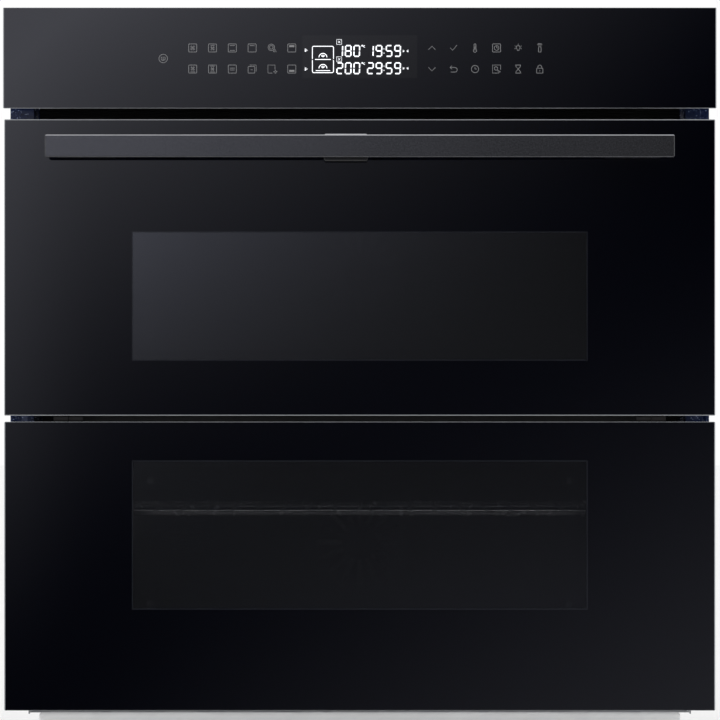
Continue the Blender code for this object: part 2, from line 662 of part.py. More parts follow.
def make_fans():
    plate_front = CAVITY_BACK - FAN_SPACE - ENAMEL
    for name, height in FANS:
        low, high = height - COVER_HEIGHT / 2, height + COVER_HEIGHT / 2
        flare = 0.020 if name == "upper" else -0.009
        outline = fan_cover_outline(low, high, flare)
        cover = plate("fan_cover_" + name, [outline], "Y", plate_front, CAVITY_BACK - FIT, "navy_enamel")
        rim = 0.0015
        cut(cover, block("cover_space_" + name, (-COVER_HALF + rim, plate_front + ENAMEL, low + rim),
                         (COVER_HALF - rim, CAVITY_BACK + 0.01, high - rim)),
            plate("grille_" + name, grille((0.0, height)), "Y", plate_front - 0.002, plate_front + 2 * ENAMEL))

        wall_back = CAVITY_BACK + ENAMEL + FIT
        body = [(SHAFT_BORE, MOTOR_LENGTH), (MOTOR_RADIUS * 0.6, MOTOR_LENGTH), (MOTOR_RADIUS * 0.6, MOTOR_LENGTH - 0.008),
                (MOTOR_RADIUS, MOTOR_LENGTH - 0.010), (MOTOR_RADIUS, 0.006), (MOTOR_RADIUS * 0.8, 0.0), (SHAFT_BORE, 0.0)]
        turned("fan_motor_" + name, [(r, -h) for r, h in reversed(body)], (0.0, wall_back, height), "Y", "steel")

        ring_y = CAVITY_BACK - 0.010
        spread = math.radians(20)
        line = []
        steps = 26
        for i in range(steps + 1):
            turn = spread + (2 * math.pi - 2 * spread) * i / steps
            line.append((RING_RADIUS * math.sin(turn), ring_y, height - RING_RADIUS * math.cos(turn)))
        first, last = Vector(line[0]), Vector(line[-1])
        back = Vector((0.0, TAIL_LENGTH, 0.0))
        line = [tuple(first + back)] + line + [tuple(last + back)]
        tube("ring_heater_" + name, line, HEATER_TUBE, "heater_tube", resolution=1)

        make_fan_wheel(name, height)
        y, z = lamp_place(height)
        lamp = [(0.0, 0.008), (LAMP_RADIUS * 0.6, 0.0068), (LAMP_RADIUS * 0.9, 0.0035), (LAMP_RADIUS, FIT),
                (LAMP_BODY, FIT), (LAMP_BODY, -0.020), (0.0, -0.020)]
        turned("lamp_" + name, lamp, (-CAVITY_HALF, y, z), "X", "lamp_glass", steps=20)


def make_fan_wheel(name, height):
    disc_y = CAVITY_BACK - 0.0200
    shaft_end = CAVITY_BACK + 0.030
    wheel = drum("fan_wheel_" + name, (0.0, disc_y, height), "Y", FAN_RADIUS * 0.95, 0.0012, "steel")
    join(wheel, drum("shaft_" + name, (0.0, (disc_y - 0.004 + shaft_end) / 2, height), "Y", SHAFT,
                     shaft_end - disc_y + 0.004, segments=12))
    blades = 8
    for i in range(blades):
        angle = 2 * math.pi * i / blades
        reach = FAN_RADIUS * 0.65
        centre = Vector((reach * math.cos(angle), disc_y + 0.0045, height + reach * math.sin(angle)))
        half = Vector((FAN_RADIUS * 0.33, 0.0048, 0.0006))
        join(wheel, block(f"blade_{name}_{i}", centre - half, centre + half, turn=-angle, turn_axis="Y"))


def make_heaters():
    half_width, front, back = 0.165, CAVITY_FRONT + 0.060, CAVITY_BACK - FAN_SPACE - 0.030
    height = CAVITY_CEILING - 0.014
    legs = 6
    line = [(-half_width, back + 0.012, height)]
    for i in range(legs):
        across = -half_width + 2 * half_width * i / (legs - 1)
        ends = (back, front) if i % 2 == 0 else (front, back)
        bend = 0.010 if i < legs - 1 else 0.0
        line.append((across, ends[0], height))
        line.append((across, ends[1], height))
        if bend:
            line.append((across + bend, ends[1] + (bend if ends[1] == back else -bend), height))
            line.append((across + 2 * half_width / (legs - 1) - bend, line[-1][1], height))
    tube("grill_heater", line, HEATER_TUBE, "heater_tube")

    height = CAVITY_FLOOR - ENAMEL - HEATER_TUBE - 0.002
    half_width, front, back = 0.150, CAVITY_FRONT + 0.070, CAVITY_BACK - 0.070
    loop = [(-0.02, back, height), (-half_width, back, height), (-half_width - 0.02, back - 0.02, height),
            (-half_width - 0.02, front + 0.02, height), (-half_width, front, height), (half_width, front, height),
            (half_width + 0.02, front + 0.02, height), (half_width + 0.02, back - 0.02, height),
            (half_width, back, height), (0.02, back, height)]
    tube("bottom_heater", loop, HEATER_TUBE, "heater_tube")


# ---------------------------------------------------------------- controls and cooling
def make_controls():
    glass = plate("control_glass", [rectangle((-PANEL_HALF, PANEL_BOTTOM), (PANEL_HALF, PANEL_TOP))], "Y",
                  GLASS_FRONT, GLASS_BACK, "black_glass")
    soften(glass, 0.0007)
    half = DOOR_HALF - CARRIER_INSET
    low, high = PANEL_BOTTOM + CARRIER_MARGIN, PANEL_TOP - CARRIER_MARGIN
    wall = 0.002
    carrier = block("control_carrier", (-half, GLASS_BACK + FIT, low), (half, deep(-FIT), high), "black_plastic")
    cut(carrier, block("carrier_space", (-half + wall, GLASS_BACK + FIT + wall, low + wall),
                       (half - wall, deep(0.01), high - wall)))
    middle = (PANEL_BOTTOM + PANEL_TOP) / 2
    display_low = middle - DISPLAY_HEIGHT / 2
    window = block("display_window", (-DISPLAY_HALF - 0.001, GLASS_BACK - 0.01, display_low - 0.001),
                   (DISPLAY_HALF + 0.001, GLASS_BACK + 0.01, display_low + DISPLAY_HEIGHT + 0.001))
    cut(carrier, window)
    block("display_module", (-DISPLAY_HALF, GLASS_BACK + FIT, display_low),
          (DISPLAY_HALF, GLASS_BACK + DISPLAY_DEPTH, display_low + DISPLAY_HEIGHT), "circuit_board")

    board_low, leg = AIR_PLATE_Z + SHEET + FIT, 0.008
    left, right, front, back = -0.240, -0.110, deep(0.060), deep(0.230)
    board = block("power_board", (left, front, board_low + leg), (right, back, board_low + leg + 0.002),
                  "circuit_board")
    for across in (left + 0.006, right - 0.006):
        for along in (front + 0.006, back - 0.006):
            join(board, block("leg", (across - 0.003, along - 0.003, board_low),
                              (across + 0.003, along + 0.003, board_low + leg + 0.001)))
    parts = ((0.020, 0.020, 0.040, 0.036, 0.026), (0.076, 0.024, 0.022, 0.016, 0.016),
             (0.076, 0.060, 0.022, 0.016, 0.016), (0.024, 0.086, 0.020, 0.050, 0.012))
    for across, along, width, length, rise in parts:
        join(board, block("component", (left + across, front + along, board_low + leg + 0.001),
                          (left + across + width, front + along + length, board_low + leg + rise)))


def blower_outline(radius, duct_half, mouth_y, centre_y):
    """A round housing with a straight duct towards the front."""
    first = math.asin(duct_half / radius)
    steps = 20
    points = [(duct_half, mouth_y)]
    for i in range(steps + 1):
        turn = first + (2 * math.pi - 2 * first) * i / steps
        points.append((radius * math.sin(turn), centre_y - radius * math.cos(turn)))
    points.append((-duct_half, mouth_y))
    return points


def make_cooling():
    half = RECESS_HALF - 0.008
    air_plate = rectangle((-half, CAVITY_FRONT + 0.002), (half, deep(0.470)))
    plate("air_channel_plate", [air_plate], "Z", AIR_PLATE_Z, AIR_PLATE_Z + SHEET, "galvanised")

    centre_y = deep(BLOWER_DEEP)
    low = AIR_PLATE_Z + SHEET + FIT
    high = low + BLOWER_HEIGHT
    wall = 0.0015
    mouth = deep(BLOWER_DEEP - 0.120)
    holes = [circle((0.0, centre_y), SHAFT + 0.001, 12)]
    for i in range(10):
        angle = 2 * math.pi * (i + 0.5) / 10
        holes.append(circle((0.036 * math.cos(angle), centre_y + 0.036 * math.sin(angle)), 0.007, 10))
    housing = plate("cooling_fan_housing", [blower_outline(BLOWER_RADIUS, 0.055, mouth, centre_y)], "Z",
                    low, high, "galvanised")
    inside = blower_outline(BLOWER_RADIUS - wall, 0.055 - wall, mouth - 0.01, centre_y)
    cut(housing, plate("blower_space", [inside], "Z", low - 0.01, high - wall),
        plate("blower_vents", holes, "Z", high - 2 * wall, high + wall))

    wheel_low, wheel_high = low + 0.006, high - wall - 0.005
    wheel = drum("cooling_fan_wheel", (0.0, centre_y, wheel_low), "Z", BLOWER_WHEEL, 0.0015, "black_plastic")
    blades = 12
    for i in range(blades):
        angle = 2 * math.pi * i / blades
        reach = BLOWER_WHEEL - 0.009
        centre = Vector((reach * math.cos(angle), centre_y + reach * math.sin(angle), (wheel_low + wheel_high) / 2))
        size = Vector((0.008, 0.0006, (wheel_high - wheel_low) / 2))
        join(wheel, block(f"vane_{i}", centre - size, centre + size, turn=angle + 0.5))
    shaft_top = high + 0.018
    join(wheel, drum("blower_shaft", (0.0, centre_y, (wheel_low + shaft_top) / 2), "Z", SHAFT,
                     shaft_top - wheel_low, segments=12))
    top = BODY_HEIGHT - SHEET - high - 0.004
    body = [(0.0, top), (BLOWER_MOTOR * 0.85, top), (BLOWER_MOTOR, top - 0.003), (BLOWER_MOTOR, 0.0),
            (SHAFT_BORE, 0.0), (SHAFT_BORE, 0.020), (0.0, 0.020)]
    turned("cooling_fan_motor", body, (0.0, centre_y, high + FIT), "Z", "steel")


# ---------------------------------------------------------------- door
def door_tray(name, low, high, sight, look="black_paint"):
    """A pressed tray, open to the front, with the opening that the inner pane closes."""
    outer = round_rectangle((-TRAY_HALF, low), (TRAY_HALF, high), 0.004, 2)
    opening = round_rectangle((-SIGHT_HALF, sight[0]), (SIGHT_HALF, sight[1]), 0.006, 2)
    tray = plate(name, [outer, opening], "Y", TRAY_FRONT, TRAY_BACK, look)
    space = block(name + "_space", (-TRAY_HALF + SHEET, TRAY_FRONT - 0.01, low + SHEET),
                  (TRAY_HALF - SHEET, TRAY_BACK - SHEET, high - SHEET))
    return cut(tray, space)


def inner_pane(name, sight):
    low = (-SIGHT_HALF - PANE_LAP, sight[0] - PANE_LAP)
    high = (SIGHT_HALF + PANE_LAP, sight[1] + PANE_LAP)
    back = TRAY_BACK - SHEET - FIT
    return plate(name, [round_rectangle(low, high, 0.004, 2)], "Y", back - INNER_PANE, back, "clear_glass")


def latch_slot(name, across, height, play):
    """Cutter for the slot that a latch rod passes through."""
    half = ROD_WIDTH / 2 + play
    return block(name, (across - half, deep(ROD_DEEP) - play, height - 0.003),
                 (across + half, deep(ROD_DEEP) + ROD_THICKNESS + play, height + 0.003))


def make_lower_door():
    glass = plate("lower_glass", [rectangle((-DOOR_HALF, DOOR_LIFT), (DOOR_HALF, LOWER_TOP))], "Y",
                  GLASS_FRONT, GLASS_BACK, "black_glass")
    soften(glass, 0.0007)
    tray = door_tray("lower_door_tray", LOWER_TRAY_BOTTOM, LOWER_TRAY_TOP, LOWER_SIGHT)
    for side, sign in SIDES:
        cut(tray, latch_slot("keeper_" + side, sign * ROD_X, LOWER_TRAY_TOP, ROD_SLOT_PLAY))
    pane = inner_pane("lower_inner_glass", LOWER_SIGHT)
    seal_half = ROD_X - ROD_WIDTH / 2 - 0.008
    seal = block("split_seal", (-seal_half, deep(-0.005), LOWER_TRAY_TOP + FIT),
                 (seal_half, TRAY_BACK - 0.001, UPPER_TRAY_BOTTOM - 0.0008), "dark_seal")
    pieces = [glass, tray, pane, seal]
    for side, sign in SIDES:
        pieces.append(main_leaf("hinge_leaf_" + side, sign))
        pieces.append(flex_leaf("flex_hinge_" + side, sign, upper=False))
    return hang(pieces, "lower_door_axis", (0.0, *MAIN_AXIS))


def round_end(centre, radius, first, last, steps=10):
    return [(centre[0] + radius * math.cos(math.radians(first + (last - first) * i / steps)),
             centre[1] + radius * math.sin(math.radians(first + (last - first) * i / steps)))
            for i in range(steps + 1)]


def main_leaf(name, sign):
    """The door's half of a main hinge: two cheeks, a foot under the tray and the pin."""
    y, z = MAIN_AXIS
    top = LOWER_TRAY_BOTTOM - FIT
    outline = round_end(MAIN_AXIS, CHEEK_RADIUS, 180, 360) + [(y + CHEEK_RADIUS, top), (y - CHEEK_RADIUS, top)]
    middle = sign * MAIN_HINGE_X
    inner = ARM_THICKNESS / 2 + FIT
    outer = inner + CHEEK_THICKNESS
    leaf = plate(name, [outline], "X", middle - outer, middle - inner, "steel")
    other = plate(name + "_cheek", [outline], "X", middle + inner, middle + outer)
    foot = block(name + "_foot", (middle - outer, y - CHEEK_RADIUS, top - 0.002),
                 (middle + outer, y + CHEEK_RADIUS + 0.008, top))
    pin = drum(name + "_pin", (middle, y, z), "X", MAIN_PIN, 2 * outer + 0.002, segments=16)
    return join(leaf, other, foot, pin)


def make_hinge_sockets():
    y, z = MAIN_AXIS
    start = deep(RECESS + 0.004)
    end = start + SOCKET_LENGTH
    for side, sign in SIDES:
        middle = sign * MAIN_HINGE_X
        half = ARM_THICKNESS / 2
        outline = round_end(MAIN_AXIS, ARM_RADIUS, 90, 270) + [(end, z - ARM_RADIUS), (end, z + ARM_RADIUS)]
        arm = plate("hinge_socket_" + side, [outline, circle(MAIN_AXIS, MAIN_BORE, 16)], "X",
                    middle - half, middle + half, "steel")
        socket = block("socket_box_" + side, (middle - SOCKET_HALF, start, SHEET + FIT),
                       (middle + SOCKET_HALF, end - 0.002, SHEET + FIT + SOCKET_HEIGHT))
        join(arm, socket)


def flex_leaf(name, sign, upper):
    """One leaf of the small hinge in the gap, with the barrel around or on the pin."""
    y, z = FLEX_AXIS
    up = 1 if upper else -1
    near, far = (z + up * reach for reach in FLEX_STRAP)
    foot = z + up * (TRAY_HINGE_SPACE - FIT)
    end = y + FLEX_STRAP_LENGTH
    root = FLEX_BARREL * 0.9
    barrel = round_end(FLEX_AXIS, FLEX_BARREL, up * 85, up * 345, 14)
    strap = [(y + root, near), (end, near), (end, foot), (end - FLEX_FOOT_LENGTH, foot), (end - FLEX_FOOT_LENGTH, far)]
    outlines = [barrel + strap]
    first, last = FLEX_HINGE_X - FIT - FLEX_LEAF_WIDTH, FLEX_HINGE_X - FIT
    if upper:
        outlines.append(circle(FLEX_AXIS, FLEX_BORE, 14))
        first, last = FLEX_HINGE_X + FIT, FLEX_HINGE_X + FIT + FLEX_LEAF_WIDTH
    low, high = sorted((sign * first, sign * last))
    leaf = plate(name, outlines, "X", low, high, "steel")
    if not upper:
        length = FLEX_LEAF_WIDTH * 1.4
        join(leaf, drum(name + "_pin", (sign * (FLEX_HINGE_X + FLEX_LEAF_WIDTH * 0.2), y, z), "X", FLEX_PIN,
                        length, segments=12))
    return leaf


def make_upper_door(lower_axis):
    handle_back = GLASS_FRONT - HANDLE_PROUD + HANDLE_DEPTH
    handle_top = HANDLE_BOTTOM + HANDLE_HEIGHT
    lever_front = handle_back + LEVER_GAP
    lever_middle = (HANDLE_BOTTOM - LEVER_DROP + handle_top + LEVER_RISE) / 2

    play = STEM_HOLE_PLAY
    stem_hole = rectangle((LEVER_X - STEM_WIDTH / 2 - play, lever_middle - STEM_HEIGHT / 2 - play),
                          (LEVER_X + STEM_WIDTH / 2 + play, lever_middle + STEM_HEIGHT / 2 + play))
    glass = plate("upper_glass", [rectangle((-DOOR_HALF, UPPER_BOTTOM), (DOOR_HALF, UPPER_TOP)), stem_hole], "Y",
                  GLASS_FRONT, GLASS_BACK, "black_glass")
    soften(glass, 0.0007)
    tray = door_tray("upper_door_tray", UPPER_TRAY_BOTTOM, UPPER_TRAY_TOP, UPPER_SIGHT)
    for side, sign in SIDES:
        cut(tray, latch_slot("rod_slot_" + side, sign * ROD_X, UPPER_TRAY_BOTTOM, ROD_SLOT_PLAY))
    pane = inner_pane("upper_inner_glass", UPPER_SIGHT)

    bar = block("handle_bar", (-HANDLE_HALF, GLASS_FRONT - HANDLE_PROUD, HANDLE_BOTTOM),
                (HANDLE_HALF, handle_back, handle_top), "handle_metal")
    soften(bar, 0.0008)
    pieces = [glass, tray, pane, bar]
    for side, sign in SIDES:
        near, far = sorted((sign * (HANDLE_HALF - POST_INSET), sign * (HANDLE_HALF - POST_INSET - POST_WIDTH)))
        post = block("handle_post_" + side, (near, handle_back + FIT, HANDLE_BOTTOM + POST_SHY),
                     (far, GLASS_FRONT - FIT, handle_top - POST_SHY), "handle_metal")
        pieces.append(soften(post, 0.0010))
        pieces.append(flex_leaf("flex_leaf_" + side, sign, upper=True))
    upper_axis = hang(pieces, "upper_door_axis", (0.0, *FLEX_AXIS), lower_axis)

    lever = block("release_lever", (LEVER_X - LEVER_WIDTH / 2, lever_front, HANDLE_BOTTOM - LEVER_DROP),
                  (LEVER_X + LEVER_WIDTH / 2, lever_front + LEVER_DEPTH, handle_top + LEVER_RISE), "black_plastic")
    soften(lever, 0.0010)
    stem_end = GLASS_BACK + 0.010
    join(lever, block("lever_stem", (LEVER_X - STEM_WIDTH / 2, lever_front + LEVER_DEPTH / 2, lever_middle - STEM_HEIGHT / 2),
                      (LEVER_X + STEM_WIDTH / 2, stem_end, lever_middle + STEM_HEIGHT / 2)))
    hang([lever], "lever_slide", (LEVER_X, lever_front, lever_middle), upper_axis)

    for side, sign in SIDES:
        across = sign * ROD_X
        rod = block("latch_rod_" + side, (across - ROD_WIDTH / 2, deep(ROD_DEEP), LOWER_TRAY_TOP + NOSE_CLEARANCE),
                    (across + ROD_WIDTH / 2, deep(ROD_DEEP) + ROD_THICKNESS, HANDLE_BOTTOM), "steel")
        hang([rod], "latch_slide_" + side, (across, deep(ROD_DEEP), LOWER_TRAY_TOP), upper_axis)


def make_fan_axes():
    for name, height in FANS:
        hang([bpy.data.objects["fan_wheel_" + name]], "fan_axis_" + name, (0.0, CAVITY_BACK, height))
    hang([bpy.data.objects["cooling_fan_wheel"]], "cooling_fan_axis", (0.0, deep(BLOWER_DEEP), AIR_PLATE_Z))


def main():
    clear_scene()
    make_casing()
    make_front_frame()
    make_cavity()
    make_insulation()
    make_runners()
    make_rack()
    make_divider()
    make_fans()
    make_heaters()
    make_controls()
    make_cooling()
    make_hinge_sockets()
    lower_axis = make_lower_door()
    make_upper_door(lower_axis)
    make_fan_axes()


main()
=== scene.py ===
# Looks of a built-in oven with a split drop-down door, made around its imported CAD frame.
import json
import math

import bmesh
import bpy
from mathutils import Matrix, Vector

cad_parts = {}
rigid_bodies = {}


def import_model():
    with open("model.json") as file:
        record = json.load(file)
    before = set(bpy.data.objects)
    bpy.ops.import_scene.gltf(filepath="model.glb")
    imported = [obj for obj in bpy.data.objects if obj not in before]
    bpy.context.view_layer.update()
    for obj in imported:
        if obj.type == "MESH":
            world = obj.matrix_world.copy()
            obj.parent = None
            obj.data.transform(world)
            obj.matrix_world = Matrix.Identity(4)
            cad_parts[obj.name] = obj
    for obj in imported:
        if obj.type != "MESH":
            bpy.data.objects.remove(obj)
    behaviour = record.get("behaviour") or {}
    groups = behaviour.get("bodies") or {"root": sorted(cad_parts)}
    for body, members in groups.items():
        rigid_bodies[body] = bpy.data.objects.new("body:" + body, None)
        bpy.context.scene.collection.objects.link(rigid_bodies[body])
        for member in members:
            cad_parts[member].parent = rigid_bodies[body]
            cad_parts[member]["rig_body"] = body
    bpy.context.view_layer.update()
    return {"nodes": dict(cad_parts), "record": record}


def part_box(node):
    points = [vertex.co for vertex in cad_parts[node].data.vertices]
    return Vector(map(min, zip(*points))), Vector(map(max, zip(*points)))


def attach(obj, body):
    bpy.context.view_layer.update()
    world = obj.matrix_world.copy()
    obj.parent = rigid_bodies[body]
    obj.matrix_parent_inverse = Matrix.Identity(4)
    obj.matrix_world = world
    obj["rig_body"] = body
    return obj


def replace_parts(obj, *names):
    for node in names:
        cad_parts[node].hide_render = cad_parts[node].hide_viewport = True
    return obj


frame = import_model()
cadNodes = frame["nodes"]
print("frame loaded:", len(cadNodes), "CAD nodes")

panelLow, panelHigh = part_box("control_glass")
panelMiddle = (panelLow.z + panelHigh.z) / 2
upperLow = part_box("upper_glass")[0]
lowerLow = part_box("lower_glass")[0]
glassFront = upperLow.y
finishes = {}


# small helpers that every material and node tree below is built with
def put(tree, kind, inputs=None, **settings):
    node = tree.nodes.new(kind)
    for name, value in settings.items():
        setattr(node, name, value)
    for name, value in (inputs or {}).items():
        if isinstance(value, bpy.types.NodeSocket):
            tree.links.new(value, node.inputs[name])
        else:
            node.inputs[name].default_value = value
    return node


def calc(tree, operation, first, second=0.0):
    return put(tree, "ShaderNodeMath", {0: first, 1: second}, operation=operation).outputs[0]


def blendColours(tree, share, first, second):
    # a plain colour comes as three numbers, anything else is a socket
    first, second = ((*end, 1.0) if isinstance(end, tuple) else end for end in (first, second))
    return put(tree, "ShaderNodeMix", {0: share, 6: first, 7: second}, data_type="RGBA").outputs[2]


def shaded(tree, colour, share):
    return put(tree, "ShaderNodeVectorMath", {0: colour, "Scale": share}, operation="SCALE").outputs[0]


def noiseOf(tree, here, scale, detail=2.0, stretch=None):
    if stretch:
        here = put(tree, "ShaderNodeMapping", {"Vector": here, "Scale": stretch}).outputs[0]
    noise = put(tree, "ShaderNodeTexNoise", {"Vector": here, "Scale": scale, "Detail": detail})
    return noise.outputs["Fac"]


def spread(tree, value, low, high, fromLow=0.3, fromHigh=0.7):
    keys = {"Value": value, "From Min": fromLow, "From Max": fromHigh, "To Min": low, "To Max": high}
    return put(tree, "ShaderNodeMapRange", keys).outputs["Result"]


def feed(tree, shader, **sources):
    sockets = {"colour": "Base Color", "roughness": "Roughness", "metallic": "Metallic", "cover": "Alpha"}
    for word, source in sources.items():
        tree.links.new(source, shader.inputs[sockets[word]])


def relief(tree, shader, height, depth):
    bump = put(tree, "ShaderNodeBump", {"Height": height, "Distance": depth, "Strength": 1.0})
    tree.links.new(bump.outputs[0], shader.inputs["Normal"])


def newFinish(name, look):
    material = bpy.data.materials.new(name)
    material.use_nodes = True
    material.diffuse_color = (*look["colour"], 1.0)
    tree = material.node_tree
    shader = tree.nodes["Principled BSDF"]
    shader.inputs["Base Color"].default_value = (*look["colour"], 1.0)
    shader.inputs["Roughness"].default_value = look["roughness"]
    shader.inputs["Metallic"].default_value = look.get("metallic", 0.0)
    shader.inputs["IOR"].default_value = look.get("ior", 1.5)
    shader.inputs["Specular IOR Level"].default_value = look.get("specular", 0.5)
    finishes[name] = material
    return tree, shader, tree.nodes.new("ShaderNodeTexCoord").outputs["Object"]


def axesOf(tree, here):
    return put(tree, "ShaderNodeSeparateXYZ", {0: here}).outputs


def insideBox(tree, here, halfWidth, low, high):
    axes = axesOf(tree, here)
    across = calc(tree, "LESS_THAN", calc(tree, "ABSOLUTE", axes["X"]), halfWidth)
    above = calc(tree, "GREATER_THAN", axes["Z"], low)
    below = calc(tree, "LESS_THAN", axes["Z"], high)
    return calc(tree, "MULTIPLY", across, calc(tree, "MULTIPLY", above, below))


# black-backed front glass; a window's heights are above its pane's lower edge
doorGlass = {
    "colour": (0.0006, 0.0008, 0.0024), "roughness": 0.012, "haze": 0.02, "hazeScale": 9.0,
    "windowHalf": 0.1900, "windowEdge": 0.0008, "windowMetal": 0.93, "edgeColour": (0.012, 0.013, 0.017),
    "upperWindow": {"low": 0.0459, "high": 0.1535, "coat": (0.150, 0.154, 0.170), "cover": 0.62, "fade": (1.00, 0.62)},
    "lowerWindow": {"low": 0.0843, "high": 0.2086, "coat": (0.100, 0.103, 0.115), "cover": 0.52, "fade": (1.15, 0.60)},
    "displayHalf": 0.0478, "displayHeight": 0.0357, "displayRise": 0.0010, "displayColour": (0.0050, 0.0052, 0.0066),
}


def startDoorGlass(name):
    tree, shader, here = newFinish(name, doorGlass)
    haze = noiseOf(tree, here, doorGlass["hazeScale"], 3.0)
    feed(tree, shader, roughness=spread(tree, haze, doorGlass["roughness"], doorGlass["haze"]))
    return tree, shader, here


def makeWindowGlass(name, low, window):
    tree, shader, here = startDoorGlass(name)
    half, edge = doorGlass["windowHalf"], doorGlass["windowEdge"]
    bottom, top = low.z + window["low"], low.z + window["high"]
    clear = insideBox(tree, here, half, bottom, top)
    inner = insideBox(tree, here, half - edge, bottom + edge, top - edge)
    rim = blendColours(tree, clear, doorGlass["colour"], doorGlass["edgeColour"])
    # painted light: the window's coat is made brighter at the left and darker at the right, as light falls across it
    fade = spread(tree, axesOf(tree, here)["X"], *window["fade"], -half, half)
    feed(tree, shader,
         colour=blendColours(tree, inner, rim, shaded(tree, window["coat"], fade)),
         metallic=calc(tree, "MULTIPLY", inner, doorGlass["windowMetal"]),
         cover=spread(tree, inner, 1.0, window["cover"], 0.0, 1.0))


def makePanelGlass():
    tree, shader, here = startDoorGlass("panelGlass")
    middle, half = panelMiddle + doorGlass["displayRise"], doorGlass["displayHeight"] / 2
    screen = insideBox(tree, here, doorGlass["displayHalf"], middle - half, middle + half)
    feed(tree, shader, colour=blendColours(tree, screen, doorGlass["colour"], doorGlass["displayColour"]))


makePanelGlass()
makeWindowGlass("upperDoorGlass", upperLow, doorGlass["upperWindow"])
makeWindowGlass("lowerDoorGlass", lowerLow, doorGlass["lowerWindow"])

# inner panes: a heat coating inside the printed border that covers the tray's edge
coatedPane = {
    "colour": (0.24, 0.25, 0.28), "roughness": 0.14, "metallic": 1.0, "upperCover": 0.42, "lowerCover": 0.18,
    "border": 0.010, "borderCover": 0.92, "borderColour": (0.004, 0.004, 0.005), "mottle": 30.0,
    "mottleTone": (0.85, 1.15),
}


def makeCoatedPane(side):
    tree, shader, here = newFinish(side + "CoatedPane", coatedPane)
    low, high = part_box(side + "_inner_glass")
    border = coatedPane["border"]
    mottle = spread(tree, noiseOf(tree, here, coatedPane["mottle"], 4.0), *coatedPane["mottleTone"])
    coat = shaded(tree, coatedPane["colour"], mottle)
    clear = insideBox(tree, here, high.x - border, low.z + border, high.z - border)
    feed(tree, shader,
         colour=blendColours(tree, clear, coatedPane["borderColour"], coat),
         cover=spread(tree, clear, coatedPane["borderCover"], coatedPane[side + "Cover"], 0.0, 1.0))


makeCoatedPane("upper")
makeCoatedPane("lower")

graphiteMetal = {
    "colour": (0.074, 0.075, 0.081), "roughness": 0.15, "metallic": 0.80, "grain": 850.0, "grainDepth": 0.000004,
    "grainRough": (0.12, 0.19), "grainTone": (0.76, 1.28), "wear": 14.0, "wearTone": (0.96, 1.04),
}


def makeGraphiteMetal():
    tree, shader, here = newFinish("graphiteMetal", graphiteMetal)
    grain = noiseOf(tree, here, graphiteMetal["grain"])
    worn = noiseOf(tree, here, graphiteMetal["wear"], 4.0)
    tone = calc(tree, "MULTIPLY", spread(tree, grain, *graphiteMetal["grainTone"]),
                spread(tree, worn, *graphiteMetal["wearTone"]))
    feed(tree, shader, colour=shaded(tree, graphiteMetal["colour"], tone),
         roughness=spread(tree, grain, *graphiteMetal["grainRough"]))
    relief(tree, shader, grain, graphiteMetal["grainDepth"])


makeGraphiteMetal()

# speckled enamel: pale and dark specks in a clouded ground; the copy inside the cavity is painted darker all over as
# painted shade
navyEnamel = {
    "colour": (0.010, 0.019, 0.062), "roughness": 0.2, "specular": 0.2, "roughRange": (0.12, 0.22), "inside": 0.35,
    "speckColour": (0.27, 0.33, 0.50), "darkColour": (0.003, 0.005, 0.016), "speckScale": 900.0, "speckSize": 0.26,
    "darkShare": 0.45, "cloudScale": 60.0, "cloudTone": (0.75, 1.25), "peelScale": 320.0, "peelDepth": 0.00002,
}


def makeNavyEnamel(name, paintedShadeFactor=1.0):
    tree, shader, here = newFinish(name, navyEnamel)
    cells = put(tree, "ShaderNodeTexVoronoi", {"Vector": here, "Scale": navyEnamel["speckScale"]}).outputs
    chance = put(tree, "ShaderNodeSeparateColor", {0: cells["Color"]}).outputs
    reach = calc(tree, "MULTIPLY", chance[0], navyEnamel["speckSize"] * 2)
    speck = calc(tree, "LESS_THAN", cells["Distance"], reach)
    pale = calc(tree, "MULTIPLY", speck, calc(tree, "GREATER_THAN", chance[1], navyEnamel["darkShare"]))
    dark = calc(tree, "MULTIPLY", speck, calc(tree, "LESS_THAN", chance[1], navyEnamel["darkShare"]))
    low, high = navyEnamel["cloudTone"]
    # the ground and the pale specks are scaled down by this factor, which paints shade onto the cavity's copy
    cloud = spread(tree, noiseOf(tree, here, navyEnamel["cloudScale"], 3.0), low * paintedShadeFactor, high * paintedShadeFactor)
    shade = blendColours(tree, dark, shaded(tree, navyEnamel["colour"], cloud), navyEnamel["darkColour"])
    paleSpeck = tuple(value * paintedShadeFactor for value in navyEnamel["speckColour"])
    peel = noiseOf(tree, here, navyEnamel["peelScale"])
    feed(tree, shader, colour=blendColours(tree, pale, shade, paleSpeck),
         roughness=spread(tree, peel, *navyEnamel["roughRange"]))
    relief(tree, shader, peel, navyEnamel["peelDepth"])


makeNavyEnamel("navyEnamel")
# painted shade: the cavity's enamel is the same enamel at about a third of its brightness
makeNavyEnamel("cavityEnamel", navyEnamel["inside"])

# galvanised sheet: warped spangle, stains and rolling lines
zincSheet = {
    "colour": (0.50, 0.51, 0.52), "roughness": 0.42, "metallic": 0.95, "spangle": 85.0, "flakeTone": (0.80, 1.08),
    "flakeRough": (0.34, 0.50), "warp": 40.0, "warpReach": 0.008, "stain": 5.0, "stainTone": (0.90, 1.05),
    "scratch": 420.0, "scratchStretch": (0.04, 1.0, 1.0), "scratchRough": (-0.04, 0.05), "scratchDepth": 0.00001,
}


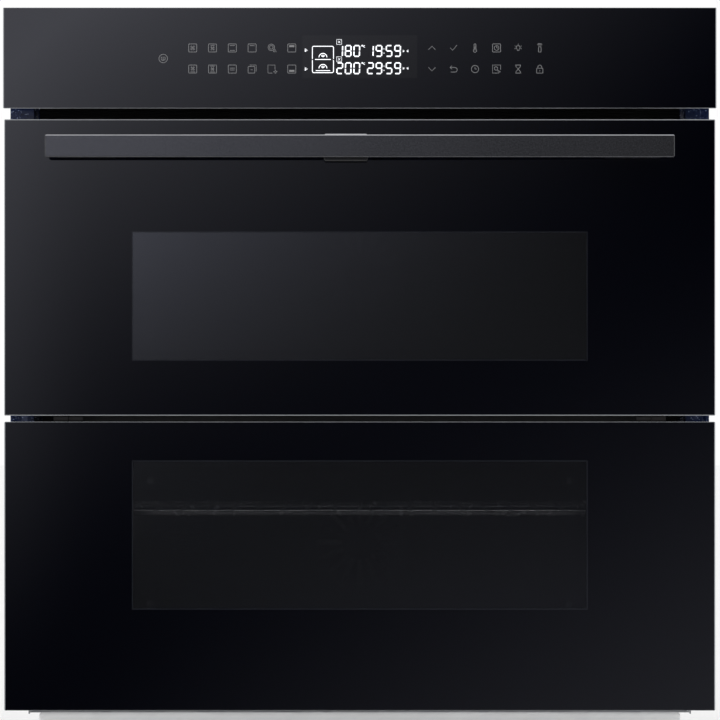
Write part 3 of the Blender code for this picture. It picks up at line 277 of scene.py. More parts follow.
def makeZincSheet():
    tree, shader, here = newFinish("zincSheet", zincSheet)
    warp = put(tree, "ShaderNodeTexNoise", {"Vector": here, "Scale": zincSheet["warp"], "Detail": 3.0}).outputs["Color"]
    moved = put(tree, "ShaderNodeVectorMath", {0: warp, 1: (zincSheet["warpReach"],) * 3, 2: here},
                operation="MULTIPLY_ADD").outputs[0]
    cells = put(tree, "ShaderNodeTexVoronoi", {"Vector": moved, "Scale": zincSheet["spangle"]})
    flake = put(tree, "ShaderNodeSeparateColor", {0: cells.outputs["Color"]}).outputs[0]
    stain = noiseOf(tree, here, zincSheet["stain"], 5.0)
    bright = calc(tree, "MULTIPLY", spread(tree, flake, *zincSheet["flakeTone"], 0.0, 1.0),
                  spread(tree, stain, *zincSheet["stainTone"]))
    lines = noiseOf(tree, here, zincSheet["scratch"], 2.0, zincSheet["scratchStretch"])
    rough = calc(tree, "ADD", spread(tree, flake, *zincSheet["flakeRough"], 0.0, 1.0),
                 spread(tree, lines, *zincSheet["scratchRough"]))
    feed(tree, shader, colour=shaded(tree, zincSheet["colour"], bright), roughness=rough)
    relief(tree, shader, lines, zincSheet["scratchDepth"])


makeZincSheet()

# finishes with a fine grain and, on some, a broader cloud of tone; noises are scale, detail and stretch
dust = {"cloud": (18.0, 4.0), "tone": (0.85, 1.25)}
grainedFinishes = {
    "brightSteel": {
        "colour": (0.42, 0.42, 0.43), "roughness": 0.30, "metallic": 1.0, "grain": (900.0, 3.0, (1.0, 0.05, 1.0)),
        "rough": (0.22, 0.38), "depth": 0.000006, "cloud": (40.0, 3.0), "tone": (0.86, 1.08),
    },
    "groundEdge": {
        "colour": (0.30, 0.31, 0.33), "roughness": 0.5, "grain": (3200.0, 2.0), "depth": 0.00001, "tone": (0.85, 1.15),
    },
    # bright metal laid on the top-front chamfer of the handle and the lever as a painted highlight
    "cutEdge": {
        "colour": (0.46, 0.46, 0.48), "roughness": 0.32, "metallic": 1.0, "grain": (1800.0, 2.0, (0.02, 1.0, 1.0)),
        "rough": (0.24, 0.40), "tone": (0.9, 1.1),
    },
    "chromeWire": {
        "colour": (0.80, 0.80, 0.81), "roughness": 0.22, "metallic": 1.0, "grain": (180.0, 3.0), "rough": (0.16, 0.30),
        "depth": 0.00001,
    },
    "trayPaint": {
        "colour": (0.0075, 0.0075, 0.0085), "roughness": 0.42, "grain": (700.0, 3.0), "rough": (0.36, 0.50),
        "depth": 0.000025, **dust,
    },
    "leverBlack": {
        "colour": (0.003, 0.003, 0.0035), "roughness": 0.28, "grain": (1500.0, 3.0), "rough": (0.22, 0.36),
        "depth": 0.00001, **dust,
    },
    "mouldedBlack": {
        "colour": (0.011, 0.011, 0.012), "roughness": 0.50, "grain": (1900.0, 3.0), "rough": (0.44, 0.58),
        "depth": 0.00004, **dust,
    },
    "sealRubber": {
        "colour": (0.016, 0.016, 0.017), "roughness": 0.72, "grain": (900.0, 3.0), "rough": (0.66, 0.80),
        "depth": 0.00003, **dust,
    },
    "printedGrey": {"colour": (0.30, 0.30, 0.31), "roughness": 0.6, "grain": (5000.0, 2.0), "tone": (0.85, 1.1)},
    "glowingWhite": {
        "colour": (0.75, 0.76, 0.78), "roughness": 0.5, "grain": (900.0, 1.0), "tone": (0.92, 1.05),
        "glow": 1.0, "glowColour": (0.93, 0.95, 1.0, 1.0),
    },
}


def makeGrainedFinish(name, look):
    tree, shader, here = newFinish(name, look)
    grain = noiseOf(tree, here, *look["grain"])
    cloud = noiseOf(tree, here, *look["cloud"]) if "cloud" in look else grain
    if "rough" in look:
        feed(tree, shader, roughness=spread(tree, grain, *look["rough"]))
    if "tone" in look:
        feed(tree, shader, colour=shaded(tree, look["colour"], spread(tree, cloud, *look["tone"])))
    if "depth" in look:
        relief(tree, shader, grain, look["depth"])
    if "glow" in look:
        shader.inputs["Emission Color"].default_value = look["glowColour"]
        shader.inputs["Emission Strength"].default_value = look["glow"]


for name, look in grainedFinishes.items():
    makeGrainedFinish(name, look)

blackSteel = {
    "colour": (0.006, 0.006, 0.007), "roughness": 0.6, "specular": 0.12, "roughRange": (0.50, 0.65),
    "stain": 60.0, "darkColour": (0.004, 0.004, 0.005), "stainColour": (0.010, 0.009, 0.009),
}


def makeBlackSteel():
    tree, shader, here = newFinish("blackSteel", blackSteel)
    stain = noiseOf(tree, here, blackSteel["stain"], 4.0)
    feed(tree, shader, colour=blendColours(tree, stain, blackSteel["darkColour"], blackSteel["stainColour"]),
         roughness=spread(tree, stain, *blackSteel["roughRange"]))


makeBlackSteel()

# heater tubes are tinted by heat in soft patches
heaterTube = {
    "colour": (0.085, 0.080, 0.078), "roughness": 0.48, "metallic": 0.7, "roughRange": (0.40, 0.58),
    "tint": (0.12, 0.085, 0.06), "patch": 22.0, "grain": 1500.0, "grainDepth": 0.00002,
}


def makeHeaterTube():
    tree, shader, here = newFinish("heaterTube", heaterTube)
    heat = spread(tree, noiseOf(tree, here, heaterTube["patch"], 4.0), 0.0, 1.0)
    fine = noiseOf(tree, here, heaterTube["grain"])
    feed(tree, shader, colour=blendColours(tree, heat, heaterTube["colour"], heaterTube["tint"]),
         roughness=spread(tree, fine, *heaterTube["roughRange"]))
    relief(tree, shader, fine, heaterTube["grainDepth"])


makeHeaterTube()

mineralWool = {
    "colour": (0.52, 0.47, 0.33), "roughness": 0.95, "darkColour": (0.36, 0.30, 0.17), "fibre": 260.0,
    "fibreStretch": (1.0, 0.35, 1.6), "fibreDepth": 0.0009, "tuft": 28.0, "tuftTone": (0.3, 1.0),
}


def makeMineralWool():
    tree, shader, here = newFinish("mineralWool", mineralWool)
    fibre = noiseOf(tree, here, mineralWool["fibre"], 6.0, mineralWool["fibreStretch"])
    tuft = noiseOf(tree, here, mineralWool["tuft"], 3.0)
    share = calc(tree, "MULTIPLY", spread(tree, fibre, 0.0, 1.0), spread(tree, tuft, *mineralWool["tuftTone"]))
    feed(tree, shader, colour=blendColours(tree, share, mineralWool["darkColour"], mineralWool["colour"]))
    relief(tree, shader, fibre, mineralWool["fibreDepth"])


makeMineralWool()

# gasket braid: two crossed sets of strands
braidedGasket = {
    "colour": (0.055, 0.055, 0.058), "roughness": 0.78, "darkColour": (0.020, 0.020, 0.022), "strands": 1250.0 / 6.3,
    "angle": 45, "wander": 1.0, "strandDepth": 0.0003,
}


def makeBraidedGasket():
    tree, shader, here = newFinish("braidedGasket", braidedGasket)
    waves = []
    for angle in (braidedGasket["angle"], -braidedGasket["angle"]):
        turn = (0, math.radians(angle), 0)
        turned = put(tree, "ShaderNodeMapping", {"Vector": here, "Rotation": turn}).outputs[0]
        keys = {"Vector": turned, "Scale": braidedGasket["strands"], "Distortion": braidedGasket["wander"]}
        waves.append(put(tree, "ShaderNodeTexWave", keys).outputs["Fac"])
    strand = calc(tree, "MAXIMUM", waves[0], waves[1])
    feed(tree, shader, colour=blendColours(tree, strand, braidedGasket["darkColour"], braidedGasket["colour"]))
    relief(tree, shader, strand, braidedGasket["strandDepth"])


makeBraidedGasket()

# circuit board with tracks; the components that stand on it are black
boardGreen = {
    "colour": (0.012, 0.070, 0.032), "roughness": 0.38, "tracks": 82.5, "trackWidth": 0.05, "trackDepth": 0.00005,
    "otherColour": (0.014, 0.085, 0.040), "trackColour": (0.035, 0.13, 0.065), "partColour": (0.018, 0.018, 0.020),
    "partsFrom": 0.0105,
}


def makeBoardGreen():
    tree, shader, here = newFinish("boardGreen", boardGreen)
    keys = {"Vector": here, "Scale": boardGreen["tracks"], "Mortar Size": boardGreen["trackWidth"]}
    for socket, word in (("Color1", "colour"), ("Color2", "otherColour"), ("Mortar", "trackColour")):
        keys[socket] = (*boardGreen[word], 1.0)
    tracks = put(tree, "ShaderNodeTexBrick", keys).outputs
    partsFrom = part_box("power_board")[0].z + boardGreen["partsFrom"]
    tall = calc(tree, "GREATER_THAN", axesOf(tree, here)["Z"], partsFrom)
    feed(tree, shader, colour=blendColours(tree, tall, tracks["Color"], boardGreen["partColour"]))
    relief(tree, shader, tracks["Fac"], boardGreen["trackDepth"])


makeBoardGreen()

lampGlass = {
    "colour": (0.70, 0.72, 0.70), "roughness": 0.10, "ior": 1.47, "cover": 0.55, "ribs": 150.0, "ribDepth": 0.0006,
    "ribRough": (0.06, 0.2),
}


def makeLampGlass():
    tree, shader, here = newFinish("lampGlass", lampGlass)
    low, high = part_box("lamp_upper")
    moved = put(tree, "ShaderNodeMapping", {"Vector": here, "Location": (0, -(low.y + high.y) / 2, 0)}).outputs[0]
    ribs = put(tree, "ShaderNodeTexWave", {"Vector": moved, "Scale": lampGlass["ribs"]}, bands_direction="Y")
    shader.inputs["Alpha"].default_value = lampGlass["cover"]
    feed(tree, shader, roughness=spread(tree, ribs.outputs["Fac"], *lampGlass["ribRough"], 0.0, 1.0))
    relief(tree, shader, ribs.outputs["Fac"], lampGlass["ribDepth"])


makeLampGlass()

slotFinishes = {
    "handle_metal": "graphiteMetal", "black_paint": "trayPaint", "navy_enamel": "cavityEnamel",
    "galvanised": "zincSheet", "steel": "brightSteel", "chrome_wire": "chromeWire", "heater_tube": "heaterTube",
    "mineral_wool": "mineralWool", "dark_seal": "sealRubber", "black_plastic": "mouldedBlack",
    "circuit_board": "boardGreen", "lamp_glass": "lampGlass",
}
ownFinishes = {
    "front_frame": "navyEnamel", "control_glass": "panelGlass", "upper_glass": "upperDoorGlass",
    "lower_glass": "lowerDoorGlass", "upper_inner_glass": "upperCoatedPane", "lower_inner_glass": "lowerCoatedPane",
    "door_gasket": "braidedGasket", "release_lever": "leverBlack",
}
for kind in ("flex_leaf_", "flex_hinge_", "latch_rod_"):
    ownFinishes[kind + "left"] = ownFinishes[kind + "right"] = "blackSteel"
slotOf = {part["node"]: part["material_slot"] for part in frame["record"]["subparts"]}
finishOf = {}
for node, thing in cadNodes.items():
    finishOf[node] = finishes[ownFinishes.get(node) or slotFinishes[slotOf[node]]]
    thing.data.materials.clear()
    thing.data.materials.append(finishOf[node])
print("finishes made:", len(finishes))


def intoScene(name, data):
    thing = bpy.data.objects.new(name, data)
    bpy.context.scene.collection.objects.link(thing)
    return thing


def finishedMesh(thing):
    graph = bpy.context.evaluated_depsgraph_get()
    return bpy.data.meshes.new_from_object(thing.evaluated_get(graph))


def addPiece(name, mesh, body, smoothAngle):
    if smoothAngle:
        mesh.shade_smooth()
        mesh.set_sharp_from_angle(angle=math.radians(smoothAngle))
    piece = intoScene(name, mesh)
    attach(piece, body)
    return piece


# node trees for what repeats or follows a path
def newTree(name, sizes):
    tree = bpy.data.node_groups.new(name, "GeometryNodeTree")
    tree.is_modifier = True
    tree.interface.new_socket("Geometry", in_out="INPUT", socket_type="NodeSocketGeometry")
    for label, kind in {**sizes, "Material": "Material"}.items():
        tree.interface.new_socket(label, in_out="INPUT", socket_type="NodeSocket" + kind)
    tree.interface.new_socket("Geometry", in_out="OUTPUT", socket_type="NodeSocketGeometry")
    return tree, tree.nodes.new("NodeGroupInput").outputs


def closeTree(tree, shape, given):
    real = put(tree, "GeometryNodeRealizeInstances", {0: shape})
    painted = put(tree, "GeometryNodeSetMaterial", {"Geometry": real.outputs[0], "Material": given["Material"]})
    put(tree, "NodeGroupOutput", {0: painted.outputs[0]})
    return tree


def setMode(node, word):
    if "Mode" in node.inputs:   # newer versions have the menu as a socket
        node.inputs["Mode"].default_value = word.title()
    else:
        node.mode = word.upper()


def sweep(tree, path, section):
    keys = {"Curve": path, "Profile Curve": section.outputs[0], "Fill Caps": True}
    return put(tree, "GeometryNodeCurveToMesh", keys).outputs[0]


def growPiece(name, base, tree, finish, sizes, body, smoothAngle):
    modifier = base.modifiers.new("grow", "NODES")
    modifier.node_group = tree
    values = {**sizes, "Material": finishes[finish]}
    for item in tree.interface.items_tree:
        if item.item_type == "SOCKET" and item.in_out == "INPUT" and item.name in values:
            modifier[item.identifier] = values[item.name]
    bpy.context.view_layer.update()
    mesh = finishedMesh(base)
    mesh.name = name
    bpy.data.objects.remove(base)
    return addPiece(name, mesh, body, smoothAngle)


def lineCurve(name, lines, closed=False):
    curve = bpy.data.curves.new(name, "CURVE")
    curve.dimensions = "3D"
    for points in lines:
        spline = curve.splines.new("POLY")
        spline.points.add(len(points) - 1)
        for point, place in zip(spline.points, points):
            point.co = (*place, 1.0)
        spline.use_cyclic_u = closed
    return intoScene(name, curve)


def pointCloud(name, places):
    mesh = bpy.data.meshes.new(name)
    mesh.from_pydata([tuple(place) for place in places], [], [])
    return intoScene(name, mesh)


def makeWireTree():
    tree, given = newTree("bentWire", {"Wire radius": "Float", "Bend radius": "Float", "Sides": "Int"})
    keys = {"Curve": given["Geometry"], "Radius": given["Bend radius"], "Limit Radius": True}
    bent = put(tree, "GeometryNodeFilletCurve", keys)
    setMode(bent, "poly")
    bent.inputs["Count"].default_value = 6
    keys = {"Resolution": given["Sides"], "Radius": given["Wire radius"]}
    section = put(tree, "GeometryNodeCurvePrimitiveCircle", keys)
    return closeTree(tree, sweep(tree, bent.outputs[0], section), given)


def makeWireRowTree():
    tree, given = newTree("wireRow", {"Wires": "Int", "Pitch": "Float", "Start": "Vector", "Length": "Float",
                                      "Wire radius": "Float", "Sides": "Int"})
    step = put(tree, "ShaderNodeCombineXYZ", {"X": given["Pitch"]}).outputs[0]
    keys = {"Count": given["Wires"], "Start Location": given["Start"], "Offset": step}
    row = put(tree, "GeometryNodeMeshLine", keys).outputs[0]
    end = put(tree, "ShaderNodeCombineXYZ", {"Y": given["Length"]}).outputs[0]
    single = put(tree, "GeometryNodeCurvePrimitiveLine", {"End": end}).outputs[0]
    placed = put(tree, "GeometryNodeInstanceOnPoints", {"Points": row, "Instance": single}).outputs[0]
    lines = put(tree, "GeometryNodeRealizeInstances", {0: placed}).outputs[0]
    keys = {"Resolution": given["Sides"], "Radius": given["Wire radius"]}
    section = put(tree, "GeometryNodeCurvePrimitiveCircle", keys)
    both = put(tree, "GeometryNodeJoinGeometry")
    tree.links.new(given["Geometry"], both.inputs[0])
    tree.links.new(sweep(tree, lines, section), both.inputs[0])
    return closeTree(tree, both.outputs[0], given)


def makeLouvreTree():
    tree, given = newTree("louvre", {"Slats": "Int", "Pitch": "Float", "Start": "Vector", "Slat size": "Vector",
                                     "Tilt": "Float"})
    step = put(tree, "ShaderNodeCombineXYZ", {"Z": given["Pitch"]}).outputs[0]
    keys = {"Count": given["Slats"], "Start Location": given["Start"], "Offset": step}
    row = put(tree, "GeometryNodeMeshLine", keys).outputs[0]
    slat = put(tree, "GeometryNodeMeshCube", {"Size": given["Slat size"]}).outputs[0]
    tilt = put(tree, "ShaderNodeCombineXYZ", {"X": given["Tilt"]}).outputs[0]
    placed = put(tree, "GeometryNodeInstanceOnPoints", {"Points": row, "Instance": slat, "Rotation": tilt})
    return closeTree(tree, placed.outputs[0], given)


def makeFastenerTree():
    tree, given = newTree("fasteners", {"Head": "Object", "Facing": "Vector", "Scale": "Float", "Seed": "Int"})
    head = put(tree, "GeometryNodeObjectInfo", {"Object": given["Head"]}).outputs["Geometry"]
    points = put(tree, "GeometryNodeMeshToPoints", {"Mesh": given["Geometry"]}).outputs[0]
    keys = {"Points": points, "Instance": head, "Rotation": given["Facing"], "Scale": given["Scale"]}
    placed = put(tree, "GeometryNodeInstanceOnPoints", keys).outputs[0]
    spin = put(tree, "FunctionNodeRandomValue", {"Seed": given["Seed"]}, data_type="FLOAT")
    spin.inputs[2].default_value, spin.inputs[3].default_value = 0.0, math.pi
    twist = put(tree, "ShaderNodeCombineXYZ", {"Z": spin.outputs[1]}).outputs[0]
    keys = {"Instances": placed, "Rotation": twist, "Local Space": True}
    return closeTree(tree, put(tree, "GeometryNodeRotateInstances", keys).outputs[0], given)


def makePrintTree():
    # a square section, half sunk in the glass, whose sides stay square to it
    tree, given = newTree("printedLines", {"Line width": "Float"})
    section = put(tree, "GeometryNodeCurvePrimitiveQuadrilateral", {0: given["Line width"], 1: given["Line width"]})
    facing = put(tree, "GeometryNodeSetCurveNormal", {"Curve": given["Geometry"]})
    setMode(facing, "free")
    facing.inputs["Normal"].default_value = (0.0, -1.0, 0.0)
    return closeTree(tree, sweep(tree, facing.outputs[0], section), given)


wireTree, wireRowTree, fastenerTree = makeWireTree(), makeWireRowTree(), makeFastenerTree()
louvreTree, printTree = makeLouvreTree(), makePrintTree()
print("node trees made")

rack = {
    "rodRadius": 0.0025, "rodSides": 16, "bend": 0.012, "crossAt": 0.66, "crossRadius": 0.00225, "crossSides": 14,
    "crossInset": 0.001, "wires": 19, "pitch": 0.0214, "wireRadius": 0.0015, "wireSides": 10, "wireLap": 0.0015,
}


def growWire(name, lines, radius, bend, sides, closed=False):
    sizes = {"Wire radius": radius, "Bend radius": bend, "Sides": sides}
    curve = lineCurve(name + "Lines", lines, closed)
    return growPiece(name, curve, wireTree, "chromeWire", sizes, "oven", 60)


def makeRack():
    low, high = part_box("wire_rack")
    rod = rack["rodRadius"]
    x, start, end, height = high.x - rod, low.y + rod, high.y - rod, low.z + rod
    corners = [(-x, start, height), (x, start, height), (x, end, height), (-x, end, height)]
    growWire("rackFrame", [corners], rod, rack["bend"], rack["rodSides"], closed=True)
    cross, reach = start + (end - start) * rack["crossAt"], x - rack["crossInset"]
    crossLine = [(-reach, cross, height), (reach, cross, height)]
    growWire("rackCrossRod", [crossLine], rack["crossRadius"], 0.0, rack["crossSides"])
    lap = rack["wireLap"]   # wires run this far past the rods' middles
    first = (-rack["pitch"] * (rack["wires"] - 1) / 2, start - lap, high.z - rack["wireRadius"])
    wires = growPiece("rackWires", pointCloud("rackStart", []), wireRowTree, "chromeWire",
                      {"Wires": rack["wires"], "Pitch": rack["pitch"], "Start": first, "Length": end - start + lap * 2,
                       "Wire radius": rack["wireRadius"], "Sides": rack["wireSides"]}, "oven", 60)
    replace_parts(wires, "wire_rack")


runner = {
    "wireRadius": 0.0020, "railRadius": 0.0019, "levels": 9, "pitch": 0.03835, "endMargin": 0.018, "bend": 0.005,
    "sides": 12,
}


def makeRunner(side):
    low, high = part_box("side_runner_" + side)
    sign = -1 if side == "left" else 1
    outer = sign * (max(abs(low.x), abs(high.x)) - runner["wireRadius"])
    inner = sign * (min(abs(low.x), abs(high.x)) + runner["railRadius"])
    first, last = low.y + runner["wireRadius"], high.y - runner["wireRadius"]
    step = abs(outer - inner)
    lines = [[(outer, y, low.z), (outer, y, high.z)] for y in (first, last)]
    for level in range(runner["levels"]):
        z = low.z + runner["endMargin"] + runner["pitch"] * level
        lines.append([(outer, first, z), (inner, first + step, z), (inner, last - step, z), (outer, last, z)])
    piece = growWire("runner" + side.title(), lines, runner["wireRadius"], runner["bend"], runner["sides"])
    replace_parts(piece, "side_runner_" + side)


makeRack()
makeRunner("left")
makeRunner("right")
print("rack and runners made")

# louvre behind the gap where the cooling air leaves
louvre = {
    "slats": 6, "pitch": 0.0026, "chord": 0.0050, "thickness": 0.0006, "tilt": 48.0, "halfWidth": 0.2740,
    "behindFrame": 0.0030, "abovePlate": 0.0015,
}


def makeLouvre():
    start = (0.0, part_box("front_frame")[1].y + louvre["behindFrame"],
             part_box("air_channel_plate")[1].z + louvre["abovePlate"])
    size = (louvre["halfWidth"] * 2, louvre["chord"], louvre["thickness"])
    growPiece("outletLouvre", pointCloud("louvreStart", []), louvreTree, "mouldedBlack",
              {"Slats": louvre["slats"], "Pitch": louvre["pitch"], "Start": start, "Slat size": size,
               "Tilt": math.radians(louvre["tilt"])}, "oven", 0)


makeLouvre()
print("louvre made")

screw = {
    "radius": 0.0036, "topShare": 0.72, "height": 0.0017, "sunk": 0.0002, "sides": 24, "edge": 0.0004,
    "recess": 0.0011, "recessWidth": 0.0009, "recessShare": 1.1, "cutterHeight": 0.003, "cutterLift": 0.0013,
}


def addBox(bm, size, centre):
    made = bmesh.ops.create_cube(bm, size=1.0)["verts"]
    bmesh.ops.scale(bm, verts=made, vec=size)
    bmesh.ops.translate(bm, verts=made, vec=centre)


def meshFrom(bm, name):
    mesh = bpy.data.meshes.new(name)
    bm.to_mesh(mesh)
    bm.free()
    return mesh


def makeScrewHead():
    bm = bmesh.new()
    bmesh.ops.create_cone(bm, cap_ends=True, segments=screw["sides"], radius1=screw["radius"],
                          radius2=screw["radius"] * screw["topShare"], depth=screw["height"])
    bmesh.ops.translate(bm, verts=bm.verts, vec=(0, 0, screw["height"] / 2 - screw["sunk"]))
    head = intoScene("screwHead", meshFrom(bm, "screwHead"))
    bm = bmesh.new()
    long, wide, tall = screw["radius"] * screw["recessShare"], screw["recessWidth"], screw["cutterHeight"]
    centre = (0, 0, screw["height"] - screw["recess"] + screw["cutterLift"])
    for size in ((long, wide, tall), (wide, long, tall)):
        addBox(bm, size, centre)
    cutter = intoScene("crossCutter", meshFrom(bm, "crossCutter"))
    bevel = head.modifiers.new("edge", "BEVEL")
    bevel.width, bevel.segments, bevel.limit_method = screw["edge"], 2, "ANGLE"
    recess = head.modifiers.new("recess", "BOOLEAN")
    recess.object, recess.operation, recess.solver, recess.use_self = cutter, "DIFFERENCE", "EXACT", True
    solid = finishedMesh(head)
    bpy.data.objects.remove(cutter)
    bpy.data.objects.remove(head)
    return intoScene("screwTemplate", solid)


def between(first, last, count):
    return [Vector(first).lerp(Vector(last), i / (count - 1)) for i in range(count)]


# where the screws sit, from the edges of the sheets that they hold
screwPlaces = {
    "inset": 0.006, "rearColumns": 6, "rearMargin": 0.02, "rearRows": (0.14, 0.43, 3), "coverInset": 0.010,
    "coverRise": 0.01, "sideColumns": 5, "sideLow": 0.007, "sideMargins": (0.03, 0.02), "topColumns": 4,
    "topSide": 0.05, "topMargins": (0.020, 0.012), "fanInset": 0.009, "trayInset": 0.012,
}


def cornersOf(low, high, inset, y):
    return [(x, y, z) for x in (low.x + inset, high.x - inset) for z in (low.z + inset, high.z - inset)]


def rearPlaces():
    low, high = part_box("rear_panel")
    inset, margin, places = screwPlaces["inset"], screwPlaces["rearMargin"], []
    for z in (inset, high.z - inset):
        places += between((low.x + margin, high.y, z), (high.x - margin, high.y, z), screwPlaces["rearColumns"])
    lowest, highest, rows = screwPlaces["rearRows"]
    for x in (low.x + inset, high.x - inset):
        places += between((x, high.y, lowest), (x, high.y, highest), rows)
    return places


def sidePlaces(sign):
    low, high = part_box("side_panel_right")
    x, (front, back), places = sign * high.x, screwPlaces["sideMargins"], []
    for z in (screwPlaces["sideLow"], high.z - screwPlaces["inset"]):
        places += between((x, low.y + front, z), (x, high.y - back, z), screwPlaces["sideColumns"])
    return places


def topPlaces():
    low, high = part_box("top_cover")
    side, (front, back), places = screwPlaces["topSide"], screwPlaces["topMargins"], []
    for y in (low.y + front, high.y - back):
        places += between((low.x + side, y, high.z), (high.x - side, y, high.z), screwPlaces["topColumns"])
    return places


def makeScrews(template):
    quarter = math.pi / 2
    low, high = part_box("terminal_cover")
    rise, inset = (low.z + high.z) / 2 + screwPlaces["coverRise"], screwPlaces["coverInset"]
    coverPlaces = [(x, high.y, rise) for x in (low.x + inset, high.x - inset)]
    fanPlaces = []
    for node in ("fan_cover_upper", "fan_cover_lower"):
        low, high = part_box(node)
        fanPlaces += cornersOf(low, high, screwPlaces["fanInset"], low.y)
    groups = [
        ("rearScrews", rearPlaces(), (-quarter, 0, 0), "oven"), ("coverScrews", coverPlaces, (-quarter, 0, 0), "oven"),
        ("sideScrewsLeft", sidePlaces(-1), (0, -quarter, 0), "oven"),
        ("sideScrewsRight", sidePlaces(1), (0, quarter, 0), "oven"), ("topScrews", topPlaces(), (0, 0, 0), "oven"),
        ("fanCoverScrews", fanPlaces, (quarter, 0, 0), "oven"),
    ]
    for side in ("upper", "lower"):
        low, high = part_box(side + "_door_tray")
        places = cornersOf(low, high, screwPlaces["trayInset"], high.y)
        groups.append((side + "TrayScrews", places, (-quarter, 0, 0), side + "_door"))
    for seed, (name, places, facing, body) in enumerate(groups):
        growPiece(name, pointCloud(name + "Points", places), fastenerTree, "brightSteel",
                  {"Head": template, "Facing": facing, "Scale": 1.0, "Seed": seed}, body, 30)


screwTemplate = makeScrewHead()
makeScrews(screwTemplate)
bpy.data.objects.remove(screwTemplate)
print("screws made")

# printed symbols on the control glass, each drawn in units around its middle
symbols = {
    "unit": 0.00084, "lineWidth": 0.00036, "drop": 0.0005, "rowRise": 0.0088, "powerAt": -0.1639,
    "leftFirst": -0.1393, "leftPitch": 0.01652, "arrowsAt": 0.0602, "rightFirst": 0.0781, "rightPitch": 0.0180,
}


def polar(x, y, r, angle):
    return (x + r * math.cos(math.radians(angle)), y + r * math.sin(math.radians(angle)))


def ring(x, y, r, start=0, end=360, steps=20):
    return [polar(x, y, r, start + (end - start) * i / steps) for i in range(steps + 1)]


def square(x0, y0, x1, y1, corner=0.7):
    centres = ((x1 - corner, y1 - corner), (x0 + corner, y1 - corner), (x0 + corner, y0 + corner),
               (x1 - corner, y0 + corner))
    path = []
    for turn, (x, y) in enumerate(centres):
        path += ring(x, y, corner, 90 * turn, 90 * turn + 90, 4)
    return path + [path[0]]


def blades(x, y, r, hub=0.3, halfAngle=math.degrees(0.35)):
    lines = []
    for turn in (45, 135, 225, 315):
        root = polar(x, y, hub, turn)
        lines.append([root, polar(x, y, r, turn + halfAngle), polar(x, y, r, turn - halfAngle), root])
    return lines


def bar(x0, x1, y):
    return [(x0, y), (x1, y)]


def bandLines(low, high):
    return [bar(-2.6, 2.6, low + (high - low) * i / 3) for i in range(4)]


def star(x, y, r):
    return [polar(x, y, r if turn % 2 == 0 else r * 0.4, 45 * turn) for turn in range(9)]


keyBox = square(-4, -4, 4, 4)
powerKey = [ring(0, 0, 4.2, 0, 360, 28), [(0, -1.6), (0, 1.8)], ring(0, 0.1, 2.0, 130, 410, 14)]
leftTop = [
    [keyBox] + blades(0, 0, 2.4),
    [keyBox, bar(-2, 2, 2.6)] + blades(0, -0.4, 2.0),
    [keyBox, bar(-2.4, 2.4, 2.4), bar(-2.4, 2.4, -2.4)],
    [keyBox, bar(-2.4, 2.4, 2.3)],
    [ring(-0.6, 0.6, 3.2), ring(-0.6, 0.6, 1.8), [(1.2, -3.8), (4.4, -3.8), (3.2, -1.4), (1.2, -3.8)]],
    [keyBox] + bandLines(1.1, 2.5),
]
leftBottom = [
    [keyBox, bar(-2.2, 2.2, -2.9)] + blades(0, 0.5, 2.1),
    [keyBox, bar(-2.2, 2.2, -2.9), bar(-2.2, 2.2, 2.9)] + blades(0, 0, 1.8),
    [keyBox, bar(-2.4, 2.4, 0.9), bar(-2.4, 2.4, -0.9)],
    [square(-4, -4, 2.6, 2.6), [(-2.4, 4), (4, 4), (4, -2.4)], bar(-1.6, 0.4, -0.7)],
    [[(3.0, 0.0), (3.0, 4), (-4, 4), (-4, -4), (0.4, -4)], star(3.4, -2.6, 2.0)],
    [keyBox] + bandLines(-2.5, -1.1),
]
arrowUp = [[(-3.4, -1.6), (0, 1.8), (3.4, -1.6)]]
arrowDown = [[(-3.4, 1.6), (0, -1.8), (3.4, 1.6)]]
tick = [[(-3.2, 0.2), (-0.9, -2.4), (3.6, 2.8)]]
probe = [[(-0.9, -1.2), (-0.9, 3.2)], ring(0, 3.2, 0.9, 180, 0, 8), [(0.9, 3.2), (0.9, -1.2)],
         ring(0, -2.6, 1.7, 58, -238, 18), [(0, -2.6), (0, 1.5)]]
timedDish = [keyBox, ring(0, 0, 2.3), [(0, 1.6), (0, 0), (1.3, 0)]]
bulb = [ring(0, 0.5, 1.9, -60, 240, 16), [(-0.9, -1.2), (-0.9, -2.6), (0.9, -2.6), (0.9, -1.2)]]
bulb += [[polar(0, 0.5, 2.7, turn), polar(0, 0.5, 3.8, turn)] for turn in (-20, 25, 90, 155, 200)]
remote = [square(-1.3, -4, 1.3, 1.2, 0.5), ring(0, 1.2, 2.0, 40, 140, 8), ring(0, 1.2, 3.2, 40, 140, 8)]
goBack = [[(-1.4, 3.4), (-3.4, 1.6), (-1.4, -0.2)], bar(-3.2, 1.4, 1.6), ring(1.4, -0.7, 2.3, 90, -90, 12),
          bar(1.4, -2.6, -3.0)]
clock = [ring(0, 0, 3.6), [(0, 2.2), (0, 0), (1.8, 0)]]
favourite = [[(4, -0.6), (4, 4), (-4, 4), (-4, -4), (1.0, -4)],
             [(1.0, -1.0), (4.0, -2.6), (2.6, -2.9), (2.0, -4.2), (1.0, -1.0)], ring(-0.6, 0.6, 1.7)]
hourglass = [bar(-2.8, 2.8, 4), bar(-2.8, 2.8, -4),
             [(-2.2, 4), (-2.2, 2.6), (0, 0), (2.2, -2.6), (2.2, -4)],
             [(2.2, 4), (2.2, 2.6), (0, 0), (-2.2, -2.6), (-2.2, -4)]]
padlock = [square(-3.1, -4, 3.1, 0.8, 0.5), [(-1.9, 0.8), (-1.9, 2.0)], ring(0, 2.0, 1.9, 180, 0, 10),
           [(1.9, 2.0), (1.9, 0.8)], [(0, -1.0), (0, -2.2)]]
rightTop = [tick, probe, timedDish, bulb, remote]
rightBottom = [goBack, clock, favourite, hourglass, padlock]


